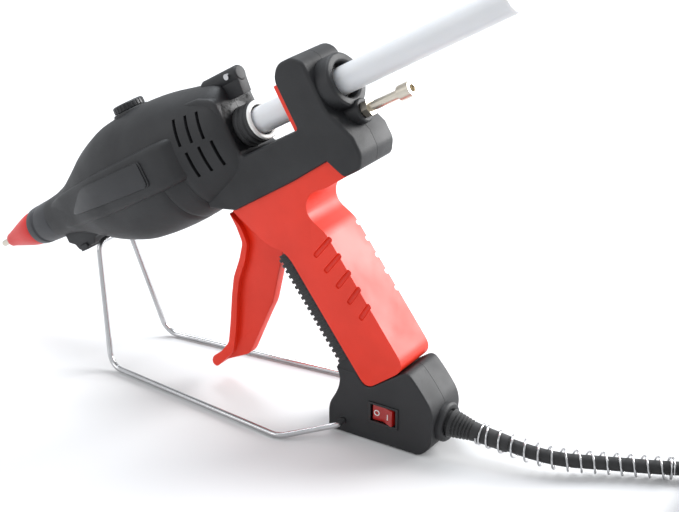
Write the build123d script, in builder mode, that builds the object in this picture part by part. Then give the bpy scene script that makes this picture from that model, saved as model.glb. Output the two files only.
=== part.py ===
"""Hot-melt glue gun on a wire stand, with a glue stick in it and its mains lead.

Frame: +X is the rear, -X the nozzle, +Z up, Y = 0 the joint between the two case halves.
The gun stands on its wire stand and on the flat foot of its handle, both at Z = 0.
Most of the upper gun is drawn in barrel coordinates: s runs back from the nozzle tip along
the barrel's axis, h stands square to it, and the barrel slopes down to the nozzle by TILT.
"""

import os
from math import cos, pi, radians, sin, sqrt, tan

from build123d import *

os.makedirs("parts", exist_ok=True)

# ---------------------------------------------------------------- driving dimensions
TILT = 31.0  # slope of the barrel, degrees
TIP_X, TIP_Z = -212.0, 55.0  # nozzle tip

STICK_R = 9.0  # 18 mm glue stick
STICK_FRONT, STICK_END = 190.0, 490.0  # a 300 mm stick, along the barrel

COLLAR_START, BARREL_FRONT = 45.0, 70.0  # front collar and front rim of the case
WALL = 3.0  # case wall

GAP_FRONT, GAP_REAR, GAP_FLOOR = 268.0, 320.0, -16.0  # saddle where the stick shows
HOUSING_R = 20.0  # half width of the rear housing and middle block
REAR_FACE = 357.0

GRIP_HALF = 17.0  # half width of the handle
BASE_HALF = 18.0  # half width of the handle's foot
COVER_T = 3.0  # red cover and ribbed pad over the handle's core
FIT = 0.1  # gap left between neighbouring mouldings

PIVOT_S, PIVOT_H = 282.0, -62.0  # trigger pin
PULL = 22.0  # trigger travel, degrees
FINGER_L, FINGER_R = 36.0, 4.0  # trigger's upper finger
STROKE = 2 * FINGER_L * sin(radians(PULL / 2))  # carriage travel

WIRE_R = 2.0  # stand wire
STAND_FRONT_X, STAND_REAR_X = -84.0, 73.0
STAND_FRONT_HALF, STAND_REAR_HALF = 32.0, 49.0
STAND_TOP_X, STAND_TOP_Z, STAND_TOP_HALF = -103.0, 87.6, 16.4
STAND_PIVOT_X, STAND_PIVOT_Z = 104.0, 9.0

SWITCH_X, SWITCH_Z = 135.0, 22.0
SCREW_H = -22.0  # stroke screw, below the barrel's axis
KNOB_S = 180.0

CORD_R = 4.5
COIL_R = 50.0  # middle of the put-away turns
COIL_X, COIL_Y = 394.0, 38.0
COIL_BAND, COIL_TALL, COIL_LIFT = 28.0, 18.4, 0.6
LOW_TURNS_Z, HIGH_TURNS_Z = 5.2, 14.3  # the coil's two layers
TIE_ANGLE = -60.0

# ---------------------------------------------------------------- frames and helpers
AXIS = Vector(cos(radians(TILT)), 0, sin(radians(TILT)))
UP = Vector(-sin(radians(TILT)), 0, cos(radians(TILT)))
TIP = Vector(TIP_X, 0, TIP_Z)


def at(s, h=0.0, y=0.0):
    """Barrel coordinates to a point of the frame."""
    return TIP + AXIS * s + UP * h + Vector(0, y, 0)


def flat(s, h):
    """Barrel coordinates to the (x, z) of a side view."""
    point = at(s, h)
    return (point.X, point.Z)


def across(s, h=0.0, y=0.0):
    """Plane square to the barrel: local x is +Y, local y is up, normal to the rear."""
    return Plane(origin=at(s, h, y), x_dir=(0, 1, 0), z_dir=AXIS)


def barrel_side(y=0.0):
    """Side view in barrel coordinates, normal towards -Y."""
    return Plane(origin=TIP + Vector(0, y, 0), x_dir=AXIS, z_dir=(0, -1, 0))


def world_side(y=0.0):
    """Side view in (x, z), normal towards -Y."""
    return Plane(origin=(0, y, 0), x_dir=(1, 0, 0), z_dir=(0, -1, 0))


def slab(points, half, plane):
    """A side-view outline made solid, the same distance each side of the plane."""
    with BuildPart() as body:
        with BuildSketch(plane):
            with BuildLine():
                Polyline(*points, close=True)
            make_face()
        extrude(amount=half, both=True)
    return body.part


def barrel_tube(start, end, outer, inner=0.0, h=0.0, y=0.0):
    """A round bar or tube along the barrel, from start to end."""
    with BuildPart() as body:
        with BuildSketch(across(start, h, y)):
            Circle(outer)
            if inner:
                Circle(inner, mode=Mode.SUBTRACT)
        extrude(amount=end - start)
    return body.part


def turned(points):
    """A ring or bush turned about the barrel's axis, from its outline in (s, radius)."""
    with BuildPart() as body:
        with BuildSketch(barrel_side()):
            with BuildLine():
                Polyline(*points, close=True)
            make_face()
        revolve(axis=Axis(TIP, AXIS))
    return body.part


def bar_between(start, end, radius):
    """A round bar from one point to another."""
    way = Vector(*end) - Vector(*start)
    with BuildPart() as body:
        with BuildSketch(Plane(origin=start, z_dir=way)):
            Circle(radius)
        extrude(amount=way.length)
    return body.part


def box_along(s_range, y_range, h_range):
    """A block set square to the barrel."""
    (s0, s1), (y0, y1), (h0, h1) = s_range, y_range, h_range
    with BuildPart() as body:
        with BuildSketch(across(s0, (h0 + h1) / 2, (y0 + y1) / 2)):
            Rectangle(y1 - y0, h1 - h0)
        extrude(amount=s1 - s0)
    return body.part


def box_world(x_range, y_range, z_range):
    """A block set square to the frame."""
    (x0, x1), (y0, y1), (z0, z1) = x_range, y_range, z_range
    with BuildPart() as body:
        with BuildSketch(Plane(((x0 + x1) / 2, (y0 + y1) / 2, z0))):
            Rectangle(x1 - x0, y1 - y0)
        extrude(amount=z1 - z0)
    return body.part


def helix_spring(plane, radius, wire, pitch, height):
    """A coil spring standing on a plane."""
    with BuildPart() as body:
        with BuildLine():
            path = Helix(pitch, height, radius)
        with BuildSketch(Plane(origin=path @ 0, z_dir=path % 0)):
            Circle(wire)
        sweep(path=path, is_frenet=True)
    return plane * body.part


def save(part, label):
    """Label a finished piece and write its STEP."""
    part.label = label
    export_step(part, f"parts/{label}.step")


# ---------------------------------------------------------------- outer form of the gun
# Rounded body round the barrel: distance s, half width, half height.
DOME = [(BARREL_FRONT, 15, 15), (100, 23, 20), (130, 31, 34), (158, 36, 43), (186, 38, 45),
        (214, 36, 43), (240, 30, 38), (GAP_FRONT, 22, 32)]
# Side pods: distance s, reach from the middle, half height.
POD = [(76, 14, 10), (100, 22.5, 13), (150, 36.5, 15), (200, 39.5, 15.5), (228, 34, 15)]
POD_H = 1.0

# Middle block and rear housing, in barrel coordinates, and the hollow in them.
HOUSING = [(222, -40), (243, -46), (297, -45), (330, -42), (337, -55), (351, -54), (REAR_FACE, -46),
           (REAR_FACE, -34), (347, -12), (347, 22), (342, 27), (326, 27), (GAP_REAR, 19),
           (GAP_REAR, GAP_FLOOR), (GAP_FRONT, GAP_FLOOR), (GAP_FRONT, 26), (255, 31), (232, 33)]
HOUSING_HOLLOW = [(226, -36), (246, -42), (326, -40), (345, -44), (353, -44), (353, -36), (343.5, -14),
                  (343.5, 20), (340, 23.5), (328, 23.5), (323, 17), (323, -19), (265, -19), (265, 22),
                  (250, 27), (232, 29)]

# Flared top of the handle, in (x, z): outer form, core under the red cover, and hollow.
FLARE = [flat(238, -48), flat(250, -46.5), flat(297, -45.2), flat(330, -42.2), flat(336, -54),
         (90, 171), (77, 163), (74, 156), (77, 148), (45, 121), (17, 139)]
FLARE_CORE = [flat(246, -46), flat(297, -44), flat(327, -41), flat(331, -52), (87, 167), (74, 161),
              (70, 150), (47, 126), (24, 139)]
FLARE_HOLLOW = [flat(250, -38), flat(297, -38), flat(320, -38), flat(324, -48), (84, 163), (72, 157),
                (67, 148), (49, 131), (31, 139)]

# The grip is a rounded bar: d runs down it, n stands square to it towards the back.
GRIP_DOWN = Vector(0.6, 0, -0.8)
GRIP_MID_X, GRIP_MID_Z = 101.6, 84.0
GRIP_DEPTH, GRIP_ROUND = 48.8, 14.0
GRIP_UP, GRIP_LOW = 86.0, 49.0
FOOT_WALL = 4.5
PAD_N, PAD_TOP, PAD_END = 119.0, -60.0, 20.0  # ribbed pad on the front of the grip

# Foot of the handle and its hollow, in (x, z).
FOOT = [(92, 0), (162, 0), (170, 7), (172, 34), (160, 50), (152, 58.6), (121.4, 36.8), (113, 47),
        (98, 47), (101, 40), (99, 30), (92, 18)]
FOOT_HOLLOW = [(96, 3), (160, 3), (166.5, 8.5), (168, 32), (157, 46), (150, 53), (122, 33), (109, 42),
               (104, 40), (103, 29), (96, 17)]


def grip_point(n, d):
    """Grip coordinates to (x, z)."""
    return (0.8 * n + 0.6 * d, 0.6 * n - 0.8 * d)


def dome_form(inset=0.0):
    """The rounded body as a loft of ellipses."""
    sections = []
    for s, wide, high in DOME:
        with BuildSketch(across(min(s, GAP_FRONT - inset))) as ring:
            Ellipse(wide - inset, high - inset)
        sections.append(ring.sketch)
    with BuildPart() as body:
        loft(sections)
    return body.part


def pod_form(sign):
    """The long raised pod on one side of the barrel."""
    sections = []
    for s, reach, high in POD:
        with BuildSketch(across(s, POD_H, sign * reach / 2)) as ring:
            RectangleRounded(reach + 1, 2 * high, 6)
        sections.append(ring.sketch)
    with BuildPart() as body:
        loft(sections)
    return body.part


def grip_bar(inset, up=GRIP_UP, low=GRIP_LOW):
    """The rounded bar of the grip, drawn in by an inset."""
    middle = Plane(origin=(GRIP_MID_X, 0, GRIP_MID_Z), x_dir=(0, 1, 0), z_dir=GRIP_DOWN)
    with BuildPart() as body:
        with BuildSketch(middle.offset(-up)):
            RectangleRounded(2 * (GRIP_HALF - inset), GRIP_DEPTH - 2 * inset, GRIP_ROUND - inset)
        extrude(amount=up + low)
    return body.part


def grip_zone(n_range, d_range):
    """A wide block that picks out one stretch of the grip."""
    (n0, n1), (d0, d1) = n_range, d_range
    return slab([grip_point(n0, d0), grip_point(n1, d0), grip_point(n1, d1), grip_point(n0, d1)], 30, world_side())


GRIP_FRONT_N = 107.2


def grip_at(n, d, y):
    """A point of the frame from grip coordinates."""
    x, z = grip_point(n, d)
    return (x, y, z)


def barrel_spindle(s, low, high, radius):
    """A round bar square to the barrel."""
    return bar_between(at(s, low), at(s, high), radius)


def panel_form(sign, shrink=0.0):
    """Thin panel let into the outer face of a pod."""
    with BuildPart() as body:
        with BuildSketch(barrel_side()):
            with Locations((157, POD_H)):
                RectangleRounded(92 - 2 * shrink, 20 - 2 * shrink, 7)
        extrude(amount=60, dir=(0, sign, 0))
        add(pod_form(sign), mode=Mode.INTERSECT)
        add(pod_form(sign).moved(Location((0, -sign * 1.5, 0))), mode=Mode.SUBTRACT)
    return body.part


# ---------------------------------------------------------------- case halves
VENT_L = 19.0
VENTS = [(234, 6), (243, 5), (252, 4), (236, -17), (246, -17), (256, -17)]
BALL_S = 57.5
ROD_Y, ROD_H, ROD_R = 13.5, -25.5, 1.5  # guide rods of the feed carriage
ROD_FRONT, ROD_REAR = 287.0, 352.0
TRIGGER_SLOT = [(0, 125), (20, 150), (50, 165), (76, 158), (76, 140), (72, 118), (68, 94), (50, 85), (30, 97)]
TRIGGER_SLOT_HALF = 5.5
PIVOT = flat(PIVOT_S, PIVOT_H)
BOSS_X, BOSS_Z, BOSS_R, BOSS_END = 160.0, 20.5, 13.5, 175.0  # cable boss at the back of the foot

with BuildPart() as neck:  # black front of the grip below the ribbed pad
    add(grip_bar(0))
    add(grip_zone((90, PAD_N), (PAD_END, 50)), mode=Mode.INTERSECT)

with BuildPart() as case:
    add(dome_form())
    for sign in (-1, 1):
        add(pod_form(sign))
    add(slab(HOUSING, HOUSING_R, barrel_side()))
    add(slab(FLARE_CORE, GRIP_HALF + 1 - COVER_T, world_side()))
    add(grip_bar(COVER_T))
    add(slab(FOOT, BASE_HALF, world_side()))
    add(neck.part)
    add(bar_between((BOSS_X, 0, BOSS_Z), (BOSS_END, 0, BOSS_Z), BOSS_R))
    add(barrel_tube(342, REAR_FACE + 1, 18))
    add(slab([(346, -32), (358, -32), (358, -13.5), (346, -13.5)], 8.5, barrel_side()))
    add(barrel_tube(357, 360.5, 8, h=SCREW_H))
    add(barrel_tube(250, 283, 5.5, h=33.5))
    add(slab([(250, 33), (283, 33), (281, 14.6), (250, 14.6)], 5, barrel_side()))
    # hollow
    add(dome_form(WALL + 0.5), mode=Mode.SUBTRACT)
    add(slab(HOUSING_HOLLOW, HOUSING_R - WALL, barrel_side()), mode=Mode.SUBTRACT)
    add(slab(FLARE_HOLLOW, GRIP_HALF + 1 - 2 * COVER_T, world_side()), mode=Mode.SUBTRACT)
    add(grip_bar(2 * COVER_T, up=80, low=60), mode=Mode.SUBTRACT)
    add(slab(FOOT_HOLLOW, BASE_HALF - FOOT_WALL, world_side()), mode=Mode.SUBTRACT)
    # holes along the barrel
    add(barrel_tube(BARREL_FRONT - 1, 86, 12.1), mode=Mode.SUBTRACT)
    add(barrel_tube(262, GAP_FRONT + 1, 14.1), mode=Mode.SUBTRACT)
    add(barrel_tube(GAP_REAR - 1, 325, 14.3), mode=Mode.SUBTRACT)
    add(barrel_tube(340, REAR_FACE + 2, 12), mode=Mode.SUBTRACT)
    add(barrel_tube(340, 361, 4.5, h=SCREW_H), mode=Mode.SUBTRACT)
    # trigger slot and pin
    add(slab(TRIGGER_SLOT, TRIGGER_SLOT_HALF, world_side()), mode=Mode.SUBTRACT)
    add(bar_between((PIVOT[0], -14.6, PIVOT[1]), (PIVOT[0], 14.6, PIVOT[1]), 3.0), mode=Mode.SUBTRACT)

    # cable boss, stand holes, switch opening, knob and hang-up pin
    add(bar_between((150, 0, BOSS_Z), (176, 0, BOSS_Z), 8.0), mode=Mode.SUBTRACT)
    add(bar_between((STAND_PIVOT_X, -20, STAND_PIVOT_Z), (STAND_PIVOT_X, 20, STAND_PIVOT_Z), WIRE_R + 0.05),
        mode=Mode.SUBTRACT)
    add(box_world((SWITCH_X - 9.8, SWITCH_X + 9.8), (-19, -10), (SWITCH_Z - 6.8, SWITCH_Z + 6.8)),
        mode=Mode.SUBTRACT)
    add(barrel_spindle(KNOB_S, 0, 55, 3.3), mode=Mode.SUBTRACT)
    add(bar_between(at(276, 34.5, -8), at(276, 34.5, 8), 2.0), mode=Mode.SUBTRACT)
    # blocks that carry the two guide rods in front, and their holes
    for side in (-1, 1):
        low, high = sorted((side * 10.5, side * 18))
        add(box_along((286, ROD_FRONT + 2.5), (low, high), (ROD_H - 4, ROD_H + 4)))
        add(barrel_tube(ROD_FRONT, ROD_REAR, ROD_R + 0.05, h=ROD_H, y=side * ROD_Y), mode=Mode.SUBTRACT)
    # cooling slots: two rows of three on each side
    for sign in (-1, 1):
        for s, h in VENTS:
            add(box_along((s, s + 2.0), (min(sign * 14, sign * 45), max(sign * 14, sign * 45)), (h, h + VENT_L)),
                mode=Mode.SUBTRACT)
    # pockets for the side panels
    for sign in (-1, 1):
        add(panel_form(sign), mode=Mode.SUBTRACT)

HALF_SPACE = 600
with BuildPart() as left_shell:  # the -Y half, with the switch
    add(case.part)
    add(box_world((-HALF_SPACE, HALF_SPACE), (0, HALF_SPACE), (-HALF_SPACE, HALF_SPACE)), mode=Mode.SUBTRACT)
save(left_shell.part, "left_shell")

with BuildPart() as right_shell:
    add(case.part)
    add(box_world((-HALF_SPACE, HALF_SPACE), (-HALF_SPACE, 0), (-HALF_SPACE, HALF_SPACE)), mode=Mode.SUBTRACT)
save(right_shell.part, "right_shell")

for sign, label in ((-1, "left_side_panel"), (1, "right_side_panel")):
    with BuildPart() as side_panel:
        add(panel_form(sign, FIT))
    save(side_panel.part, label)

# ---------------------------------------------------------------- grip cover and pad
with BuildPart() as grip_cover:
    add(grip_bar(0))
    add(slab(FLARE, GRIP_HALF + 1, world_side()))
    add(grip_bar(COVER_T - FIT), mode=Mode.SUBTRACT)
    add(slab(FLARE_CORE, GRIP_HALF + 1 - COVER_T + FIT, world_side()), mode=Mode.SUBTRACT)
    add(slab(HOUSING, HOUSING_R + 1, barrel_side()), mode=Mode.SUBTRACT)
    add(grip_zone((90, PAD_N + FIT), (PAD_TOP - FIT, 60)), mode=Mode.SUBTRACT)
    add(slab(FOOT, BASE_HALF + 1, world_side()), mode=Mode.SUBTRACT)
    add(slab(TRIGGER_SLOT, TRIGGER_SLOT_HALF + 0.5, world_side()), mode=Mode.SUBTRACT)
    add(dome_form(-FIT), mode=Mode.SUBTRACT)
save(grip_cover.part, "grip_cover")

with BuildPart() as grip_pad:
    add(grip_bar(0))
    add(grip_zone((90, PAD_N - FIT), (PAD_TOP, PAD_END - FIT)), mode=Mode.INTERSECT)
    add(grip_bar(COVER_T - FIT), mode=Mode.SUBTRACT)
    add(slab(TRIGGER_SLOT, TRIGGER_SLOT_HALF + 0.5, world_side()), mode=Mode.SUBTRACT)
    for step in range(7):  # ribs across the front edge
        d = -44 + 9 * step
        add(bar_between(grip_at(GRIP_FRONT_N, d, -20), grip_at(GRIP_FRONT_N, d, 20), 1.2), mode=Mode.SUBTRACT)
save(grip_pad.part, "grip_pad")

# ---------------------------------------------------------------- nozzle and front collar
with BuildPart() as nozzle:
    add(turned([(0, 1.2), (0, 2.2), (9, 2.6), (12, 3.6), (42, 9.6), (46.7, 9.6), (46.7, 11.9), (82, 11.9),
                (82, 5), (66, 5), (64, 3), (61, 3), (60.2, 4.6), (40, 4.6), (36, 1.2)]))
save(nozzle.part, "nozzle")

with BuildPart() as nozzle_sleeve:
    add(turned([(10, 3.3), (10, 4.2), (13, 5.4), (38, 12.2), (45, 12.6), (45, 9.8), (42, 9.75), (12, 3.75)]))
save(nozzle_sleeve.part, "nozzle_sleeve")

with BuildPart() as front_collar:
    add(turned([(45.3, 9.8), (45.3, 13.4), (51, 14.3), (69.8, 15), (69.8, 12.1), (46.6, 12.1), (46.6, 9.8)]))
save(front_collar.part, "front_collar")

with BuildPart() as valve_ball:
    with Locations(at(BALL_S)):
        Sphere(4.0)
save(valve_ball.part, "valve_ball")

save(helix_spring(across(41), 3.4, 0.35, 2.2, 12), "valve_spring")

# ---------------------------------------------------------------- melt chamber and its feed
HEATER_H = 13.2
with BuildPart() as melt_chamber:
    add(turned([(82.2, 2.5), (82.2, 12), (108, 12), (112, 16.8), (212, 16.8), (212, 9.6), (116, 9.6), (108, 2.5)]))
    for side in (-1, 1):
        add(barrel_tube(118, 186, 3.0, h=side * HEATER_H), mode=Mode.SUBTRACT)
save(melt_chamber.part, "melt_chamber")

with BuildPart() as heaters:
    for side in (-1, 1):
        add(barrel_tube(119, 185, 2.95, h=side * HEATER_H))
save(heaters.part, "heaters")

with BuildPart() as insulation_sleeve:
    add(barrel_tube(114, 208, 20.5, 17.0))
    add(barrel_spindle(156, 0, 30, 7.2), mode=Mode.SUBTRACT)
    add(barrel_spindle(156, -30, 0, 7.2), mode=Mode.SUBTRACT)
save(insulation_sleeve.part, "insulation_sleeve")

save(barrel_spindle(156, 17.0, 25, 7.0), "thermostat")
save(barrel_spindle(156, -22, -17.0, 5.0), "thermal_fuse")

with BuildPart() as inlet_sleeve:
    add(barrel_tube(212.2, 262, 11.5, 9.7))
save(inlet_sleeve.part, "inlet_sleeve")

with BuildPart() as sleeve_clip:
    add(barrel_tube(218, 225, 12.8, 11.6))
    add(box_along((219, 224), (-2.5, 2.5), (12.7, 18)))
save(sleeve_clip.part, "sleeve_clip")

with BuildPart() as inlet_collar:
    ribs = [(262.4, 9.7), (262.4, 12.6), (268.6, 12.6), (268.6, 13.9), (272, 13.9), (272, 12.9), (274, 12.9),
            (274, 13.9), (277, 13.9), (277, 12.9), (278.4, 12.9), (278.4, 13.9), (281, 13.9), (281, 9.7)]
    add(turned(ribs))
save(inlet_collar.part, "inlet_collar")

with BuildPart() as inlet_ring:
    add(turned([(281.1, 10.4), (281.1, 13.4), (283, 13.2), (283, 11), (282.4, 10.4)]))
save(inlet_ring.part, "inlet_ring")

with BuildPart() as rear_bush:
    add(barrel_tube(345, 351, 11.9, 9.7))
save(rear_bush.part, "rear_bush")

with BuildPart() as glue_stick:
    add(barrel_tube(STICK_FRONT, STICK_END, STICK_R))
save(glue_stick.part, "glue_stick")

# ---------------------------------------------------------------- feed carriage
FINGER_S = PIVOT_S + FINGER_L * sin(radians(PULL / 2))
FINGER_H = PIVOT_H + FINGER_L * cos(radians(PULL / 2))
FOOT_BACK = FINGER_S - FINGER_R - 0.3  # face that the trigger's finger pushes
NECK_S = 323 + STROKE + 0.6
CARRIAGE_END = 341.0
CLAMP_S = 329.0

with BuildPart() as feed_carriage:
    add(box_along((316, 319.6), (-17, 17), (-15.5, 15.5)))
    add(barrel_tube(319, CARRIAGE_END, 13.5))
    add(box_along((NECK_S, CARRIAGE_END), (-9, 9), (-31, 0)))
    add(box_along((NECK_S, CARRIAGE_END), (-16, 16), (-29, -22.5)))
    for side in (-1, 1):
        add(box_along((FOOT_BACK - 6, CARRIAGE_END), (side * 7.5 - 1.5, side * 7.5 + 1.5), (-31, -22.5)))
        add(barrel_tube(NECK_S - 1, CARRIAGE_END + 1, ROD_R + 0.05, h=ROD_H, y=side * ROD_Y), mode=Mode.SUBTRACT)
    add(box_along((FOOT_BACK - 6, FOOT_BACK), (-9, 9), (-31, -22.5)))
    add(barrel_tube(300, 345, 9.7), mode=Mode.SUBTRACT)
    add(barrel_tube(CLAMP_S - 3, CLAMP_S + 5, 12.4), mode=Mode.SUBTRACT)
save(feed_carriage.part, "feed_carriage")

with BuildPart() as stick_clamp:
    add(barrel_tube(CLAMP_S, CLAMP_S + 2.5, 12.0, 9.8))
save(stick_clamp.part, "stick_clamp")

save(helix_spring(across(CLAMP_S - 2.9, 11.1), 0.8, 0.2, 0.9, 2.7), "clamp_spring")

with BuildPart() as guide_rods:
    for side in (-1, 1):
        add(barrel_tube(ROD_FRONT + 0.1, ROD_REAR - 0.1, ROD_R, h=ROD_H, y=side * ROD_Y))
save(guide_rods.part, "guide_rods")

with BuildPart() as return_springs:
    for side in (-1, 1):
        add(helix_spring(across(290.5, ROD_H, side * ROD_Y), 2.4, 0.35, 4.5, NECK_S - 291.2))
save(return_springs.part, "return_springs")

# ---------------------------------------------------------------- trigger
BLADE = [(6, 133), (12, 124), (17, 113), (14, 100), (9, 86), (7, 72), (5, 50), (3, 34), (-5, 24), (-11, 20),
         (-12, 15), (-8, 12), (4, 20), (18, 28), (34, 64), (38, 72), (48, 116), (67, 140), (60, 153), (20, 137)]
FLANGE = [(6, 133), (12, 124), (17, 113), (14, 100), (9, 86), (7, 72), (5, 50), (3, 34), (-5, 24), (-11, 20),
          (-12, 15), (-8, 12), (6, 27), (8, 34), (10, 50), (11.5, 72), (13.5, 85), (18.5, 99), (21, 113), (16, 124)]
FINGER = flat(FINGER_S, FINGER_H)

with BuildPart() as trigger:
    add(slab(BLADE, 4, world_side()))
    add(slab(FLANGE, 8, world_side()))
    add(bar_between((PIVOT[0], -5, PIVOT[1]), (PIVOT[0], 5, PIVOT[1]), 7))
    add(bar_between((FINGER[0], -4, FINGER[1]), (FINGER[0], 4, FINGER[1]), FINGER_R))
    add(slab([flat(PIVOT_S - 5, PIVOT_H), flat(PIVOT_S + 5, PIVOT_H), flat(FINGER_S + 2.8, FINGER_H),
              flat(FINGER_S - 2.8, FINGER_H)], 4, world_side()))
    add(bar_between((PIVOT[0], -6, PIVOT[1]), (PIVOT[0], 6, PIVOT[1]), 3.05), mode=Mode.SUBTRACT)
save(trigger.part, "trigger")

save(bar_between((PIVOT[0], -14.5, PIVOT[1]), (PIVOT[0], 14.5, PIVOT[1]), 3.0), "trigger_pin")
save(helix_spring(Plane((PIVOT[0], -11, PIVOT[1]), z_dir=(0, 1, 0)), 3.9, 0.45, 1.5, 4.6), "trigger_spring")

# ---------------------------------------------------------------- stroke screw
save(barrel_tube(350, 360.5, 4.5, 3.05, h=SCREW_H), "screw_insert")

with BuildPart() as stroke_screw:
    add(barrel_tube(CARRIAGE_END + 8.3, 390, 3.0, h=SCREW_H))
    add(barrel_tube(390, 399.5, 5.0, h=SCREW_H))
    with BuildSketch(across(399.5, SCREW_H)):
        RegularPolygon(2.9, 6)
    extrude(amount=-4, mode=Mode.SUBTRACT)
save(stroke_screw.part, "stroke_screw")

with BuildPart() as lock_nut:
    with BuildSketch(across(360.9, SCREW_H)):
        RegularPolygon(5.0, 6, major_radius=False)
        Circle(3.05, mode=Mode.SUBTRACT)
    extrude(amount=5)
save(lock_nut.part, "lock_nut")

# ---------------------------------------------------------------- temperature control
with BuildPart() as control_board:
    add(box_along((150, 205), (-14, 14), (30, 31.6)))
save(control_board.part, "control_board")

save(barrel_spindle(KNOB_S, 31.7, 39, 8.0), "potentiometer")

with BuildPart() as temperature_knob:
    add(barrel_spindle(KNOB_S, 39.2, 46, 3.0))
    add(barrel_spindle(KNOB_S, 45.6, 50.5, 11.5))
    for step in range(16):
        ray = PolarLocations(11.5, 16).locations[step].position
        spot = at(KNOB_S + ray.X, 45, ray.Y)
        add(bar_between(spot, spot + UP * 6, 0.8), mode=Mode.SUBTRACT)
save(temperature_knob.part, "temperature_knob")

# ---------------------------------------------------------------- switch and wiring in the foot
with BuildPart() as switch_body:
    add(box_world((SWITCH_X - 11.2, SWITCH_X + 11.2), (-18.8, -18), (SWITCH_Z - 7.6, SWITCH_Z + 7.6)))
    add(box_world((SWITCH_X - 9.7, SWITCH_X + 9.7), (-18.4, 0), (SWITCH_Z - 6.7, SWITCH_Z + 6.7)))
    add(box_world((SWITCH_X - 9.5, SWITCH_X + 9.5), (-20, -8), (SWITCH_Z - 6.1, SWITCH_Z + 6.1)),
        mode=Mode.SUBTRACT)
save(switch_body.part, "switch_body")

ROCKER_Y, ROCKER_TILT = -14.0, 11.0
with BuildPart() as switch_rocker:
    face = Plane((SWITCH_X, ROCKER_Y, SWITCH_Z - 5.8), z_dir=(0, 0, 1)).rotated((0, 0, -ROCKER_TILT))
    with BuildSketch(face):
        with BuildLine():
            Polyline((-8.4, -4.8), (0, -3.2), (8.4, -4.8), (7.8, 0.4), (-7.8, 0.4), close=True)
        make_face()
    extrude(amount=11.6)
save(switch_rocker.part, "switch_rocker")

save(box_world((118, 140), (3, 13), (14, 26)), "terminal_block")
save(bar_between((146, 0, BOSS_Z), (159.8, 0, BOSS_Z), CORD_R), "inner_lead")

with BuildPart() as cable_clamp:
    add(box_world((146, 153), (-10, 10), (BOSS_Z + CORD_R + 0.1, BOSS_Z + CORD_R + 3.6)))
    with Locations((149.5, -7.5, 0), (149.5, 7.5, 0)):
        Cylinder(1.4, 80, mode=Mode.SUBTRACT)
save(cable_clamp.part, "cable_clamp")

with BuildPart() as clamp_screws:
    for y in (-7.5, 7.5):
        add(bar_between((149.5, y, 14), (149.5, y, 28.7), 1.35))
        add(bar_between((149.5, y, 28.7), (149.5, y, 30.6), 2.6))
save(clamp_screws.part, "clamp_screws")

# ---------------------------------------------------------------- small outside fittings
with BuildPart() as hang_pin:
    add(bar_between(at(276, 34.5, -7.5), at(276, 34.5, 7.5), 2.0))
save(hang_pin.part, "hang_pin")

with BuildPart() as stand_clip:
    add(slab([(74, -12), (74, -21), (80, -28), (98, -28), (106, -24), (106, -12)], 9, barrel_side()))
    add(box_along((84, 92), (-10, 10), (-29.5, -26)))
    add(dome_form(-FIT), mode=Mode.SUBTRACT)
    for sign in (-1, 1):
        add(pod_form(sign), mode=Mode.SUBTRACT)
save(stand_clip.part, "stand_clip")

# ---------------------------------------------------------------- wire stand
STAND_POINTS = [(STAND_PIVOT_X, -13, STAND_PIVOT_Z), (STAND_PIVOT_X, -26, STAND_PIVOT_Z),
                (STAND_REAR_X, -STAND_REAR_HALF, WIRE_R), (STAND_FRONT_X, -STAND_FRONT_HALF, WIRE_R),
                (STAND_TOP_X, -STAND_TOP_HALF, STAND_TOP_Z)]
STAND_RADII = [6, 14, 12, 8]
with BuildPart() as stand_wire:
    mirrored = [(x, -y, z) for x, y, z in reversed(STAND_POINTS)]
    with BuildLine():
        route = FilletPolyline(*STAND_POINTS, *mirrored, radius=STAND_RADII + STAND_RADII[::-1])
    with BuildSketch(Plane(origin=route @ 0, z_dir=route % 0)):
        Circle(WIRE_R)
    sweep(path=route)
save(stand_wire.part, "stand_wire")

# ---------------------------------------------------------------- mains lead
BOOT_END = Vector(216, 4, 15)
BOOT_START = Vector(BOSS_END + FIT, 0, BOSS_Z)
BOOT_WAY = (BOOT_END - BOOT_START).normalized()
EXIT_POINT = tuple(BOOT_END)
LEAD = [EXIT_POINT, tuple(BOOT_END + BOOT_WAY * 26), (273, 27, 8.4), (314, 46, 7.9), (340, 66, 5.6)]


def coil_point(angle, radius, height):
    """A point on a turn of the put-away coil, at an angle in degrees from +X."""
    turn = radians(angle)
    return (COIL_X + radius * cos(turn), COIL_Y + radius * sin(turn), height)


LEAD = LEAD + [(362, 88.5, LOW_TURNS_Z), (385, 97, LOW_TURNS_Z)]
TAIL = [coil_point(95, 55, HIGH_TURNS_Z), coil_point(70, 58, HIGH_TURNS_Z), (438, 83, 15.5), (455, 68.5, 17.5),
        (463, 58, 19)]


def bend_radii(points):
    """The largest bend each corner of a route has room for."""
    corners = [Vector(*point) for point in points]
    runs = [(b - a).length for a, b in zip(corners, corners[1:])]
    bends = []
    for a, b, c, before, after in zip(corners, corners[1:], corners[2:], runs, runs[1:]):
        turn = radians((b - a).get_angle(c - b))
        bends.append(0.45 * min(before, after) / tan(turn / 2))
    return bends


LEAD_RADII = bend_radii(LEAD)


def cord_tube(points, label):
    """A round cord along straight runs joined by arcs."""
    radii = bend_radii(points)
    with BuildPart() as tube:
        with BuildLine():
            path = FilletPolyline(*points, radius=radii)
        with BuildSketch(Plane(origin=path @ 0, z_dir=path % 0)):
            Circle(CORD_R)
        sweep(path=path)
    save(tube.part, label)


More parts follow.
